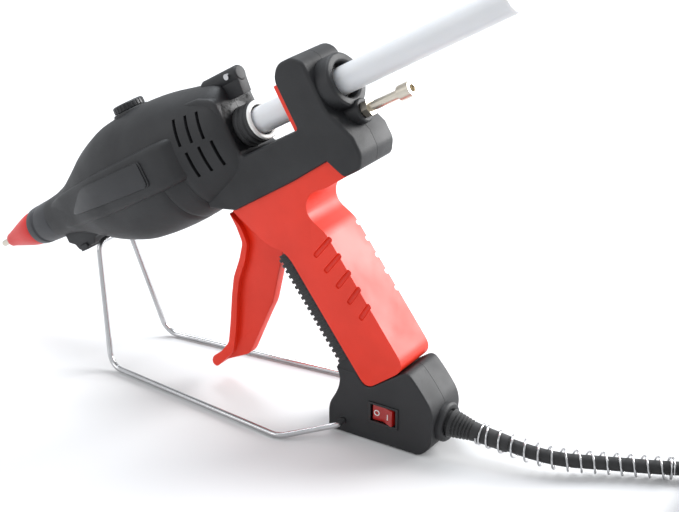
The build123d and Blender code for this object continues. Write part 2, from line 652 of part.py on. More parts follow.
with BuildPart() as strain_relief:
    with BuildSketch(Plane(origin=BOOT_START, z_dir=(1, 0, 0))):
        Circle(9.5)
    with BuildSketch(Plane(origin=BOOT_START + BOOT_WAY * 16, z_dir=BOOT_WAY)):
        Circle(6.6)
    with BuildSketch(Plane(origin=BOOT_END, z_dir=BOOT_WAY)):
        Circle(5.4)
    loft(ruled=True)
    add(bar_between((162, 0, BOSS_Z), (BOSS_END + 2, 0, BOSS_Z), 7.9))
save(strain_relief.part, "strain_relief")

cord_tube(LEAD, "mains_cord")
cord_tube(TAIL, "cord_tail")

with BuildPart() as cord_coil:
    with BuildSketch(Plane.XY.offset(COIL_LIFT)):
        with Locations((COIL_X, COIL_Y)):
            Circle(COIL_R + COIL_BAND / 2)
            Circle(COIL_R - COIL_BAND / 2, mode=Mode.SUBTRACT)
    extrude(amount=COIL_TALL)
save(cord_coil.part, "cord_coil")

with BuildPart() as cord_tie:
    outward = Vector(cos(radians(TIE_ANGLE)), sin(radians(TIE_ANGLE)), 0)
    middle = coil_point(TIE_ANGLE, COIL_R, COIL_LIFT + COIL_TALL / 2)
    with BuildSketch(Plane(origin=middle, x_dir=outward, z_dir=(-outward.Y, outward.X, 0))):
        Rectangle(COIL_BAND + 4.4, COIL_TALL + 1.0)
        Rectangle(COIL_BAND + 1.4, COIL_TALL + 0.2, mode=Mode.SUBTRACT)
    extrude(amount=6, both=True)
save(cord_tie.part, "cord_tie")

PLUG_START = Vector(*TAIL[-1])
PLUG_WAY = (PLUG_START - Vector(*TAIL[-2])).normalized()
PLUG_FLAT = Vector(PLUG_WAY.X, PLUG_WAY.Y, 0).normalized()
PLUG_SIDE = Vector(-PLUG_FLAT.Y, PLUG_FLAT.X, 0)
with BuildPart() as mains_plug:
    with BuildSketch(Plane(origin=PLUG_START, z_dir=PLUG_FLAT)):
        Circle(6.5)
    with BuildSketch(Plane(origin=PLUG_START + PLUG_FLAT * 16, z_dir=PLUG_FLAT)):
        Circle(16)
    with BuildSketch(Plane(origin=PLUG_START + PLUG_FLAT * 32, z_dir=PLUG_FLAT)):
        Circle(18.5)
    loft(ruled=True)
save(mains_plug.part, "mains_plug")

with BuildPart() as plug_pins:
    for side in (-1, 1):
        root = PLUG_START + PLUG_FLAT * 32 + PLUG_SIDE * (9.5 * side)
        add(bar_between(root, root + PLUG_FLAT * 19, 2.4))
save(plug_pins.part, "plug_pins")

with BuildPart() as kink_spring:
    with BuildLine():
        guide = FilletPolyline(BOOT_START + BOOT_WAY * 20, *LEAD[1:4], radius=LEAD_RADII[:2])
    with BuildSketch(Plane(origin=guide @ 0, z_dir=guide % 0)):
        Circle(7.6)
        Circle(6.4, mode=Mode.SUBTRACT)
    sweep(path=guide)
save(kink_spring.part, "kink_spring")
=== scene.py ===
"""Scene of a heavy-duty hot-melt glue gun standing on its wire stand, with its lead put away in a coil.

Lengths in the classes are millimetres. Barrel coordinates are (s, y, h): s runs back from the nozzle
tip along the barrel and h stands square to it. World coordinates are (x, y, z).
"""

import logging
import math
from dataclasses import dataclass, field
from enum import Enum
from typing import Callable, Iterable, Sequence

import bmesh
import bpy
from mathutils import Matrix, Vector


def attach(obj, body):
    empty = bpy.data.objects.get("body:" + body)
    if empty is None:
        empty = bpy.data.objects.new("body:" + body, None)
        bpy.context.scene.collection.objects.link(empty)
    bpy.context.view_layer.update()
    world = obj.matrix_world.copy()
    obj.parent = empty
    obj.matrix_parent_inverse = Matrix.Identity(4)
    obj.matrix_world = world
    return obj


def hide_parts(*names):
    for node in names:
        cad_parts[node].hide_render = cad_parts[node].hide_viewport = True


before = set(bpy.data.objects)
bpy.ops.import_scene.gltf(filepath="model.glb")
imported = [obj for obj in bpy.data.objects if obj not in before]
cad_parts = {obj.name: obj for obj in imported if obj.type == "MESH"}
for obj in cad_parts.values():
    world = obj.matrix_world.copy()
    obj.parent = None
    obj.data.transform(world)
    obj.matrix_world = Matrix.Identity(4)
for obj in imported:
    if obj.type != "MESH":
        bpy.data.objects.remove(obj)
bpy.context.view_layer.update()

log = logging.getLogger("glue_gun")
Point = tuple[float, float]
Point3 = tuple[float, float, float]

MM = 0.001
TILT = math.radians(31.0)
AXIS = Vector((math.cos(TILT), 0.0, math.sin(TILT)))
UP = Vector((-math.sin(TILT), 0.0, math.cos(TILT)))
TIP = Vector((-212.0, 0.0, 55.0))
WORLD = Matrix.Scale(MM, 4)
BARREL = WORLD @ Matrix((
    (AXIS.x, 0.0, UP.x, TIP.x), (0.0, 1.0, 0.0, TIP.y), (AXIS.z, 0.0, UP.z, TIP.z), (0.0, 0.0, 0.0, 1.0)))
SEAM = 0.12  # half the gap between the two case halves


# ---------------------------------------------------------------- finishes
class Pattern(Enum):
    """How the surface of a finish is broken up."""

    SPARK = "spark"
    SATIN = "satin"
    BRUSHED = "brushed"
    WOVEN = "woven"
    CLOUDY = "cloudy"


def add_node(tree: bpy.types.NodeTree, kind: str, place: Point, **values: object) -> bpy.types.Node:
    """Add a node and set its plain properties.

    Args:
        tree: Node tree to add to.
        kind: Blender's node type.
        place: Where it stands in the editor.
        **values: Properties set on the node.

    Returns:
        The new node.
    """
    node = tree.nodes.new(kind)
    node.location = place
    for key, value in values.items():
        setattr(node, key, value)
    return node


def new_group(name: str, inputs: dict[str, float], outputs: Iterable[str]) -> bpy.types.NodeTree:
    """Start a shader node group with a vector input, number inputs and number outputs.

    Args:
        name: Name of the group.
        inputs: Number inputs and their defaults.
        outputs: Names of the number outputs.

    Returns:
        The empty group with its sockets.
    """
    tree = bpy.data.node_groups.new(name, "ShaderNodeTree")
    tree.interface.new_socket("Place", in_out="INPUT", socket_type="NodeSocketVector")
    for key, value in inputs.items():
        tree.interface.new_socket(key, in_out="INPUT", socket_type="NodeSocketFloat").default_value = value
    for key in outputs:
        tree.interface.new_socket(key, in_out="OUTPUT", socket_type="NodeSocketFloat")
    return tree


def grain_group() -> bpy.types.NodeTree:
    """Build the fine surface grain: a height, and a mask of wide uneven patches.

    Returns:
        The node group.
    """
    tree = new_group("surface_grain", {"Grain": 2500.0, "Patch": 40.0, "Stretch": 1.0}, ("Height", "Patches"))
    enter = add_node(tree, "NodeGroupInput", (-900, 0))
    leave = add_node(tree, "NodeGroupOutput", (500, 0))
    ease = add_node(tree, "ShaderNodeCombineXYZ", (-720, -160))
    ease.inputs["Y"].default_value = 1.0
    ease.inputs["Z"].default_value = 1.0
    pull = add_node(tree, "ShaderNodeVectorMath", (-540, 0), operation="MULTIPLY")
    fine = add_node(tree, "ShaderNodeTexNoise", (-320, 120))
    fine.inputs["Detail"].default_value = 3.0
    fine.inputs["Roughness"].default_value = 0.6
    pits = add_node(tree, "ShaderNodeTexVoronoi", (-320, -120))
    wide = add_node(tree, "ShaderNodeTexNoise", (-320, -380))
    wide.inputs["Detail"].default_value = 5.0
    blend = add_node(tree, "ShaderNodeMath", (-80, 60), operation="MULTIPLY_ADD")
    blend.inputs[1].default_value = 0.45
    spread = add_node(tree, "ShaderNodeMapRange", (120, -320))
    spread.inputs["From Min"].default_value = 0.35
    spread.inputs["From Max"].default_value = 0.65
    link = tree.links.new
    link(enter.outputs["Stretch"], ease.inputs["X"])
    link(enter.outputs["Place"], pull.inputs[0])
    link(ease.outputs["Vector"], pull.inputs[1])
    for texture, size in ((fine, "Grain"), (pits, "Grain"), (wide, "Patch")):
        link(pull.outputs["Vector"] if texture is not wide else enter.outputs["Place"], texture.inputs["Vector"])
        link(enter.outputs[size], texture.inputs["Scale"])
    link(pits.outputs["Distance"], blend.inputs[0])
    link(fine.outputs["Fac"], blend.inputs[2])
    link(wide.outputs["Fac"], spread.inputs["Value"])
    link(blend.outputs["Value"], leave.inputs["Height"])
    link(spread.outputs["Result"], leave.inputs["Patches"])
    return tree


def rub_group() -> bpy.types.NodeTree:
    """Build the mask of thin rub marks and specks of dust.

    Returns:
        The node group.
    """
    tree = new_group("rub_marks", {"Size": 90.0, "Amount": 0.5}, ("Marks",))
    enter = add_node(tree, "NodeGroupInput", (-900, 0))
    leave = add_node(tree, "NodeGroupOutput", (500, 0))
    lean = add_node(tree, "ShaderNodeMapping", (-700, 0))
    lean.inputs["Rotation"].default_value = (0.3, 0.5, 0.7)
    lean.inputs["Scale"].default_value = (1.0, 14.0, 14.0)
    lines = add_node(tree, "ShaderNodeTexNoise", (-480, 0))
    lines.inputs["Detail"].default_value = 4.0
    lines.inputs["Roughness"].default_value = 0.7
    thin = add_node(tree, "ShaderNodeMapRange", (-220, 0))
    thin.inputs["From Min"].default_value = 0.62
    thin.inputs["From Max"].default_value = 0.78
    weigh = add_node(tree, "ShaderNodeMath", (60, 0), operation="MULTIPLY")
    link = tree.links.new
    link(enter.outputs["Place"], lean.inputs["Vector"])
    link(lean.outputs["Vector"], lines.inputs["Vector"])
    link(enter.outputs["Size"], lines.inputs["Scale"])
    link(lines.outputs["Fac"], thin.inputs["Value"])
    link(thin.outputs["Result"], weigh.inputs[0])
    link(enter.outputs["Amount"], weigh.inputs[1])
    link(weigh.outputs["Value"], leave.inputs["Marks"])
    return tree


GRAIN = grain_group()
RUBS = rub_group()


@dataclass(frozen=True)
class Finish:
    """One finish of the gun, as a procedural material.

    Attributes:
        name: Name of the material.
        colour: Base colour, linear.
        shade: How dark the darker patches are, as a share of the colour.
        rough: Roughness of the smooth places.
        uneven: Roughness added in the patches.
        metal: Metallic value.
        pattern: How the surface is broken up.
        grain: Size of the grain, as a noise scale.
        depth: Depth of the grain in metres.
        rubbed: Strength of the pale rub marks.
        coat: Weight of a clear coat.
        sheen: Weight of the sheen.
        depth_glow: Subsurface weight.
    """

    name: str
    colour: Point3
    shade: float = 0.8
    rough: float = 0.5
    uneven: float = 0.1
    metal: float = 0.0
    pattern: Pattern = Pattern.SATIN
    grain: float = 2500.0
    depth: float = 0.00003
    rubbed: float = 0.15
    coat: float = 0.0
    sheen: float = 0.0
    depth_glow: float = 0.0

    def material(self) -> bpy.types.Material:
        """Build the material, or find it if it is there.

        Returns:
            The material.
        """
        ready = bpy.data.materials.get("finish_" + self.name)
        if ready:
            return ready
        material = bpy.data.materials.new("finish_" + self.name)
        material.use_nodes = True
        tree = material.node_tree
        tree.nodes.clear()
        link = tree.links.new
        out = add_node(tree, "ShaderNodeOutputMaterial", (700, 0))
        shader = add_node(tree, "ShaderNodeBsdfPrincipled", (400, 0))
        shader.inputs["Metallic"].default_value = self.metal
        shader.inputs["Coat Weight"].default_value = self.coat
        shader.inputs["Coat Roughness"].default_value = 0.25
        shader.inputs["Sheen Weight"].default_value = self.sheen
        shader.inputs["Sheen Roughness"].default_value = 0.5
        shader.inputs["Subsurface Weight"].default_value = self.depth_glow
        shader.inputs["Subsurface Radius"].default_value = (1.0, 0.9, 0.8)
        shader.inputs["Subsurface Scale"].default_value = 0.006
        link(shader.outputs["BSDF"], out.inputs["Surface"])
        place = add_node(tree, "ShaderNodeTexCoord", (-900, 0))
        grain = add_node(tree, "ShaderNodeGroup", (-620, 0), node_tree=GRAIN)
        grain.inputs["Grain"].default_value = self.grain
        grain.inputs["Patch"].default_value = 35.0
        grain.inputs["Stretch"].default_value = 0.04 if self.pattern is Pattern.BRUSHED else 1.0
        rubs = add_node(tree, "ShaderNodeGroup", (-620, -260), node_tree=RUBS)
        rubs.inputs["Size"].default_value = 70.0
        rubs.inputs["Amount"].default_value = self.rubbed
        for group in (grain, rubs):
            link(place.outputs["Object"], group.inputs["Place"])
        tone = add_node(tree, "ShaderNodeMix", (-300, 220), data_type="RGBA")
        dark = tuple(value * self.shade for value in self.colour)
        tone.inputs[6].default_value = (*self.colour, 1.0)
        tone.inputs[7].default_value = (*dark, 1.0)
        link(grain.outputs["Patches"], tone.inputs[0])
        worn = add_node(tree, "ShaderNodeMix", (-60, 220), data_type="RGBA")
        pale = tuple(min(1.0, value * 1.5 + 0.06) for value in self.colour)
        worn.inputs[7].default_value = (*pale, 1.0)
        link(tone.outputs[2], worn.inputs[6])
        link(rubs.outputs["Marks"], worn.inputs[0])
        link(worn.outputs[2], shader.inputs["Base Color"])
        gloss = add_node(tree, "ShaderNodeMapRange", (-60, -60))
        gloss.inputs["To Min"].default_value = self.rough
        gloss.inputs["To Max"].default_value = min(1.0, self.rough + self.uneven)
        link(grain.outputs["Patches"], gloss.inputs["Value"])
        link(gloss.outputs["Result"], shader.inputs["Roughness"])
        height = grain.outputs["Height"]
        if self.pattern is Pattern.WOVEN:
            height = self.weave(tree, place)
        bump = add_node(tree, "ShaderNodeBump", (120, -320))
        bump.inputs["Strength"].default_value = 0.9 if self.pattern is Pattern.SPARK else 0.5
        bump.inputs["Distance"].default_value = self.depth
        link(height, bump.inputs["Height"])
        link(bump.outputs["Normal"], shader.inputs["Normal"])
        return material

    def weave(self, tree: bpy.types.NodeTree, place: bpy.types.Node) -> bpy.types.NodeSocket:
        """Add crossing waves for a woven sleeve.

        Args:
            tree: The material's node tree.
            place: The texture coordinate node.

        Returns:
            The socket that carries the height.
        """
        waves = []
        for way in ("X", "Z"):
            wave = add_node(tree, "ShaderNodeTexWave", (-620, -520), bands_direction=way)
            wave.inputs["Scale"].default_value = 260.0
            tree.links.new(place.outputs["Object"], wave.inputs["Vector"])
            waves.append(wave)
        cross = add_node(tree, "ShaderNodeMath", (-300, -520), operation="MULTIPLY")
        for number, wave in enumerate(waves):
            tree.links.new(wave.outputs["Fac"], cross.inputs[number])
        return cross.outputs["Value"]


CASE = Finish("case_plastic", (0.0095, 0.0098, 0.0115), 0.8, 0.5, 0.12, pattern=Pattern.SPARK, grain=1900.0,
              depth=0.00012, rubbed=0.1)
PANEL = Finish("panel_plastic", (0.012, 0.0125, 0.015), 0.85, 0.38, 0.1, grain=2600.0, depth=0.00003)
RED = Finish("red_plastic", (0.74, 0.024, 0.003), 0.9, 0.42, 0.1, grain=2200.0, depth=0.00003, rubbed=0.12)
SOFT_BLACK = Finish("black_rubber", (0.014, 0.014, 0.015), 0.8, 0.6, 0.12, grain=2200.0, depth=0.00006, sheen=0.15)
RED_SILICONE = Finish("red_silicone", (0.6, 0.008, 0.005), 0.85, 0.42, 0.12, grain=2000.0, depth=0.00003,
                      coat=0.15)
TIP_METAL = Finish("nozzle_steel", (0.62, 0.57, 0.49), 0.75, 0.24, 0.14, 1.0, Pattern.BRUSHED, 3000.0, 0.00002)
BRIGHT = Finish("bright_steel", (0.55, 0.55, 0.56), 0.82, 0.16, 0.12, 1.0, Pattern.BRUSHED, 3000.0, 0.00001)
NICKEL = Finish("nickel_screw", (0.66, 0.61, 0.52), 0.8, 0.24, 0.14, 1.0, Pattern.BRUSHED, 3000.0, 0.00002)
BRASS = Finish("brass", (0.70, 0.48, 0.18), 0.8, 0.25, 0.12, 1.0, Pattern.BRUSHED)
ALUMINIUM = Finish("aluminium", (0.62, 0.62, 0.64), 0.8, 0.38, 0.15, 1.0, Pattern.SPARK, 1500.0, 0.00008)
PTFE = Finish("ptfe", (0.82, 0.81, 0.78), 0.95, 0.35, 0.08, depth_glow=0.2)
INSULATION = Finish("insulation", (0.72, 0.68, 0.58), 0.8, 0.8, 0.1, pattern=Pattern.WOVEN, depth=0.0003, sheen=0.2)
SPRING = Finish("spring_steel", (0.46, 0.46, 0.48), 0.8, 0.28, 0.1, 1.0, Pattern.BRUSHED)
CERAMIC = Finish("ceramic_white", (0.78, 0.76, 0.70), 0.92, 0.6, 0.1)
BOARD = Finish("circuit_board", (0.02, 0.16, 0.06), 0.8, 0.35, 0.1, coat=0.3)
GREY = Finish("grey_plastic", (0.03, 0.031, 0.036), 0.8, 0.4, 0.12, pattern=Pattern.SPARK, grain=2200.0,
              depth=0.00006)
SWITCH_BLACK = Finish("switch_black", (0.008, 0.008, 0.009), 0.9, 0.22, 0.08, coat=0.2)
SWITCH_RED = Finish("switch_red", (0.35, 0.008, 0.006), 0.85, 0.14, 0.06, coat=0.5)
GLUE = Finish("glue", (0.66, 0.67, 0.69), 0.97, 0.3, 0.12, pattern=Pattern.CLOUDY, grain=700.0, depth=0.0001,
              rubbed=0.05, coat=0.2, depth_glow=0.7)
SHEATH = Finish("cord_rubber", (0.012, 0.012, 0.013), 0.8, 0.5, 0.12, grain=2400.0, depth=0.00006, sheen=0.1)


# ---------------------------------------------------------------- making pieces
def outline_solid(points: Sequence[Point], low: float, high: float) -> bmesh.types.BMesh:
    """Stand a side-view outline up between two values of y.

    Args:
        points: Corners in (s, h) or (x, z).
        low: First y.
        high: Second y.

    Returns:
        The closed solid.
    """
    bm = bmesh.new()
    face = bm.faces.new([bm.verts.new((a, low, b)) for a, b in points])
    grown = bmesh.ops.extrude_face_region(bm, geom=[face])["geom"]
    bmesh.ops.translate(bm, vec=(0, high - low, 0), verts=[v for v in grown if isinstance(v, bmesh.types.BMVert)])
    bmesh.ops.recalc_face_normals(bm, faces=bm.faces)
    return bm


def soften(bm: bmesh.types.BMesh, width: float, segments: int = 3, angle: float = 30.0,
           where: Callable[[Vector, Vector], bool] | None = None) -> None:
    """Round the sharp edges of a mesh.

    Args:
        bm: Mesh to change.
        width: Width of the rounding.
        segments: Steps across it.
        angle: Edges sharper than this many degrees are rounded.
        where: Test on an edge's middle and direction.
    """
    chosen = []
    for edge in bm.edges:
        if len(edge.link_faces) != 2 or math.degrees(edge.calc_face_angle(0.0)) < angle:
            continue
        start, end = edge.verts[0].co, edge.verts[1].co
        if where is None or where((start + end) / 2, (end - start).normalized()):
            chosen.append(edge)
    if chosen:
        bmesh.ops.bevel(bm, geom=chosen, offset=width, offset_type="OFFSET", segments=segments, profile=0.5,
                        affect="EDGES", material=-1, clamp_overlap=True, loop_slide=True)


def mirror(bm: bmesh.types.BMesh) -> None:
    """Turn a right half into a left one."""
    bmesh.ops.scale(bm, vec=(1, -1, 1), verts=bm.verts)
    bmesh.ops.reverse_faces(bm, faces=bm.faces)


def open_seam(bm: bmesh.types.BMesh) -> None:
    """Take away the faces of a half that lie on the seam, so that it can be given a wall."""
    seam = [face for face in bm.faces if all(vert.co.y < SEAM + 0.01 for vert in face.verts)]
    bmesh.ops.delete(bm, geom=seam, context="FACES_ONLY")


def lift(bm: bmesh.types.BMesh, height: float) -> bmesh.types.BMesh:
    """Move a mesh up by a height, square to the barrel or to the floor."""
    bmesh.ops.translate(bm, vec=(0, 0, height), verts=bm.verts)
    return bm


def patch(u_steps: int, v_steps: int, shape: Callable[[float, float], Point3]) -> bmesh.types.BMesh:
    """Lay a grid of faces over a surface given by a function of u and v.

    Args:
        u_steps: Faces along u.
        v_steps: Faces along v.
        shape: Gives a point from u and v, each 0 to 1.

    Returns:
        The open surface.
    """
    bm = bmesh.new()
    bmesh.ops.create_grid(bm, x_segments=u_steps, y_segments=v_steps, size=0.5)
    for vert in bm.verts:
        vert.co = shape(vert.co.x + 0.5, vert.co.y + 0.5)
    return bm


def lathe(profile: Sequence[Point], closed: bool = True, steps: int = 64, width: float = 0.0) -> bmesh.types.BMesh:
    """Turn an outline of (distance, radius) about the line y = h = 0.

    Args:
        profile: Corners of the outline.
        closed: Whether the outline returns to its start, as a ring's does.
        steps: Faces round the turn.
        width: Rounding of the turned corners.

    Returns:
        The turned solid.
    """
    bm = bmesh.new()
    verts = [bm.verts.new((s, 0.0, r)) for s, r in profile]
    edges = [bm.edges.new(pair) for pair in zip(verts, verts[1:])]
    if closed:
        edges.append(bm.edges.new((verts[-1], verts[0])))
    bmesh.ops.spin(bm, geom=verts + edges, cent=(0, 0, 0), axis=(1, 0, 0), angle=2 * math.pi, steps=steps,
                   use_merge=True, use_duplicate=False)
    bmesh.ops.remove_doubles(bm, verts=bm.verts, dist=0.0005)
    bmesh.ops.recalc_face_normals(bm, faces=bm.faces)
    if width:
        soften(bm, width, 2, 25.0, lambda middle, way: abs(way.x) < 0.2)
    return bm


def turn_to(bm: bmesh.types.BMesh, start: Vector, way: Vector) -> bmesh.types.BMesh:
    """Move a lathe's x axis onto a line.

    Args:
        bm: Mesh to move.
        start: Where its origin goes.
        way: Where its x axis points.

    Returns:
        The same mesh.
    """
    turn = Vector((1, 0, 0)).rotation_difference(way).to_matrix().to_4x4()
    bmesh.ops.transform(bm, matrix=Matrix.Translation(start) @ turn, verts=bm.verts)
    return bm


def block(low: Point3, high: Point3, width: float = 0.0) -> bmesh.types.BMesh:
    """Make a block between two corners, with rounded edges if a width is given."""
    bm = bmesh.new()
    bmesh.ops.create_cube(bm, size=1.0)
    size = Vector(high) - Vector(low)
    bmesh.ops.scale(bm, vec=size, verts=bm.verts)
    bmesh.ops.translate(bm, vec=Vector(low) + size / 2, verts=bm.verts)
    if width:
        soften(bm, width)
    return bm


def gather(parts: Iterable[bmesh.types.BMesh]) -> bmesh.types.BMesh:
    """Put several meshes into one.

    Args:
        parts: Meshes, which are used up.

    Returns:
        One mesh with all their faces.
    """
    whole = bmesh.new()
    for part in parts:
        step = bpy.data.meshes.new("step")
        part.to_mesh(step)
        part.free()
        whole.from_mesh(step)
        bpy.data.meshes.remove(step)
    return whole


def cutter_from(bm: bmesh.types.BMesh, space: Matrix) -> bpy.types.Object:
    """Make a passing object that a piece is carved with."""
    bmesh.ops.transform(bm, matrix=space, verts=bm.verts)
    mesh = bpy.data.meshes.new("carver")
    bm.to_mesh(mesh)
    bm.free()
    obj = bpy.data.objects.new("carver", mesh)
    bpy.context.scene.collection.objects.link(obj)
    return obj


def settle(obj: bpy.types.Object) -> None:
    """Make a piece's modifiers part of its mesh."""
    done = bpy.data.meshes.new_from_object(obj.evaluated_get(bpy.context.evaluated_depsgraph_get()))
    obj.modifiers.clear()
    obj.data = done


@dataclass
class Piece:
    """One piece of the visual model, before it is put in place.

    Attributes:
        name: Name of the piece.
        body: Body that it rides on.
        finish: Its finish.
        stands_for: CAD nodes that it replaces.
        space: Turns its coordinates into the frame's metres.
        wall: Thickness that an open surface is given, inwards.
        crisp: Angle past which an edge is shaded sharp.
        carve: Shapes that are cut out of it, in the same coordinates.
    """

    name: str
    body: str
    finish: Finish
    stands_for: tuple[str, ...] = ()
    space: Matrix = field(default_factory=lambda: WORLD.copy())
    wall: float = 0.0
    crisp: float = 38.0
    carve: list[bmesh.types.BMesh] = field(default_factory=list)

    def build(self, bm: bmesh.types.BMesh) -> bpy.types.Object:
        """Turn a mesh into the finished piece.

        Args:
            bm: Its mesh, which is used up.

        Returns:
            The piece, riding on its body.
        """
        bmesh.ops.transform(bm, matrix=self.space, verts=bm.verts)
        mesh = bpy.data.meshes.new(self.name)
        bm.to_mesh(mesh)
        bm.free()
        obj = bpy.data.objects.new(self.name, mesh)
        bpy.context.scene.collection.objects.link(obj)
        if self.wall:
            thick = obj.modifiers.new("wall", "SOLIDIFY")
            thick.thickness = self.wall * MM
            thick.offset = -1.0
            settle(obj)
        if self.carve:
            tool = cutter_from(gather(self.carve), self.space)
            cut = obj.modifiers.new("carve", "BOOLEAN")
            cut.operation = "DIFFERENCE"
            cut.solver = "EXACT"
            cut.use_self = True
            cut.object = tool
            settle(obj)
            bpy.data.objects.remove(tool)
        mesh = obj.data
        mesh.name = self.name
        mesh.shade_smooth()
        mesh.set_sharp_from_angle(angle=math.radians(self.crisp))
        mesh.materials.clear()
        mesh.materials.append(self.finish.material())
        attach(obj, self.body)
        if self.stands_for:
            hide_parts(*self.stands_for)
        log.info("%s: %d faces on %s", self.name, len(mesh.polygons), self.body)
        return obj


def between(table: Sequence[tuple[float, ...]], s: float, column: int) -> float:
    """Read a smooth value from a table whose first column is the distance.

    Args:
        table: Rows that start with the distance.
        s: Distance to read at.
        column: Column to read.

    Returns:
        The value on a smooth curve through the rows.
    """
    if s <= table[0][0]:
        return table[0][column]
    for number in range(len(table) - 1):
        a, b = table[number], table[number + 1]
        if s <= b[0]:
            before = table[number - 1] if number else a
            after = table[number + 2] if number + 2 < len(table) else b
            span = b[0] - a[0]
            share = (s - a[0]) / span
            slope_a = (b[column] - before[column]) / max(b[0] - before[0], 1e-6) * span
            slope_b = (after[column] - a[column]) / max(after[0] - a[0], 1e-6) * span
            cube, square = share ** 3, share ** 2
            return ((2 * cube - 3 * square + 1) * a[column] + (cube - 2 * square + share) * slope_a
                    + (3 * square - 2 * cube) * b[column] + (cube - square) * slope_b)
    return table[-1][column]


def smooth_corners(points: Sequence[Point], radii: dict[int, float], steps: int = 6) -> list[Point]:
    """Round chosen corners of an outline.

    Args:
        points: Corners of the closed outline.
        radii: Length cut back along each side, by the corner's number.
        steps: Points on each rounding.

    Returns:
        The outline with its curves.
    """
    result: list[Point] = []
    for number, corner in enumerate(points):
        cut = radii.get(number, 0.0)
        here = Vector(corner)
        if not cut:
            result.append(corner)
            continue
        before = Vector(points[number - 1])
        after = Vector(points[(number + 1) % len(points)])
        start = here + (before - here).normalized() * min(cut, (before - here).length * 0.48)
        end = here + (after - here).normalized() * min(cut, (after - here).length * 0.48)
        for step in range(steps + 1):
            t = step / steps
            spot = start * (1 - t) ** 2 + here * 2 * t * (1 - t) + end * t ** 2
            result.append((spot.x, spot.y))
    return result


def grip(n: float, d: float) -> Point:
    """Grip coordinates to (x, z): d runs down the grip and n square to it, towards the back."""
    return (0.8 * n + 0.6 * d, 0.6 * n - 0.8 * d)


def flat(s: float, h: float) -> Point:
    """Barrel coordinates to (x, z)."""
    spot = TIP + AXIS * s + UP * h
    return (spot.x, spot.z)


class Side(Enum):
    """The two halves of the case."""

    LEFT = -1
    RIGHT = 1

    @property
    def word(self) -> str:
        """The half's name in small letters."""
        return self.name.lower()

    @property
    def shell(self) -> str:
        """The CAD node of the half."""
        return self.word + "_shell"


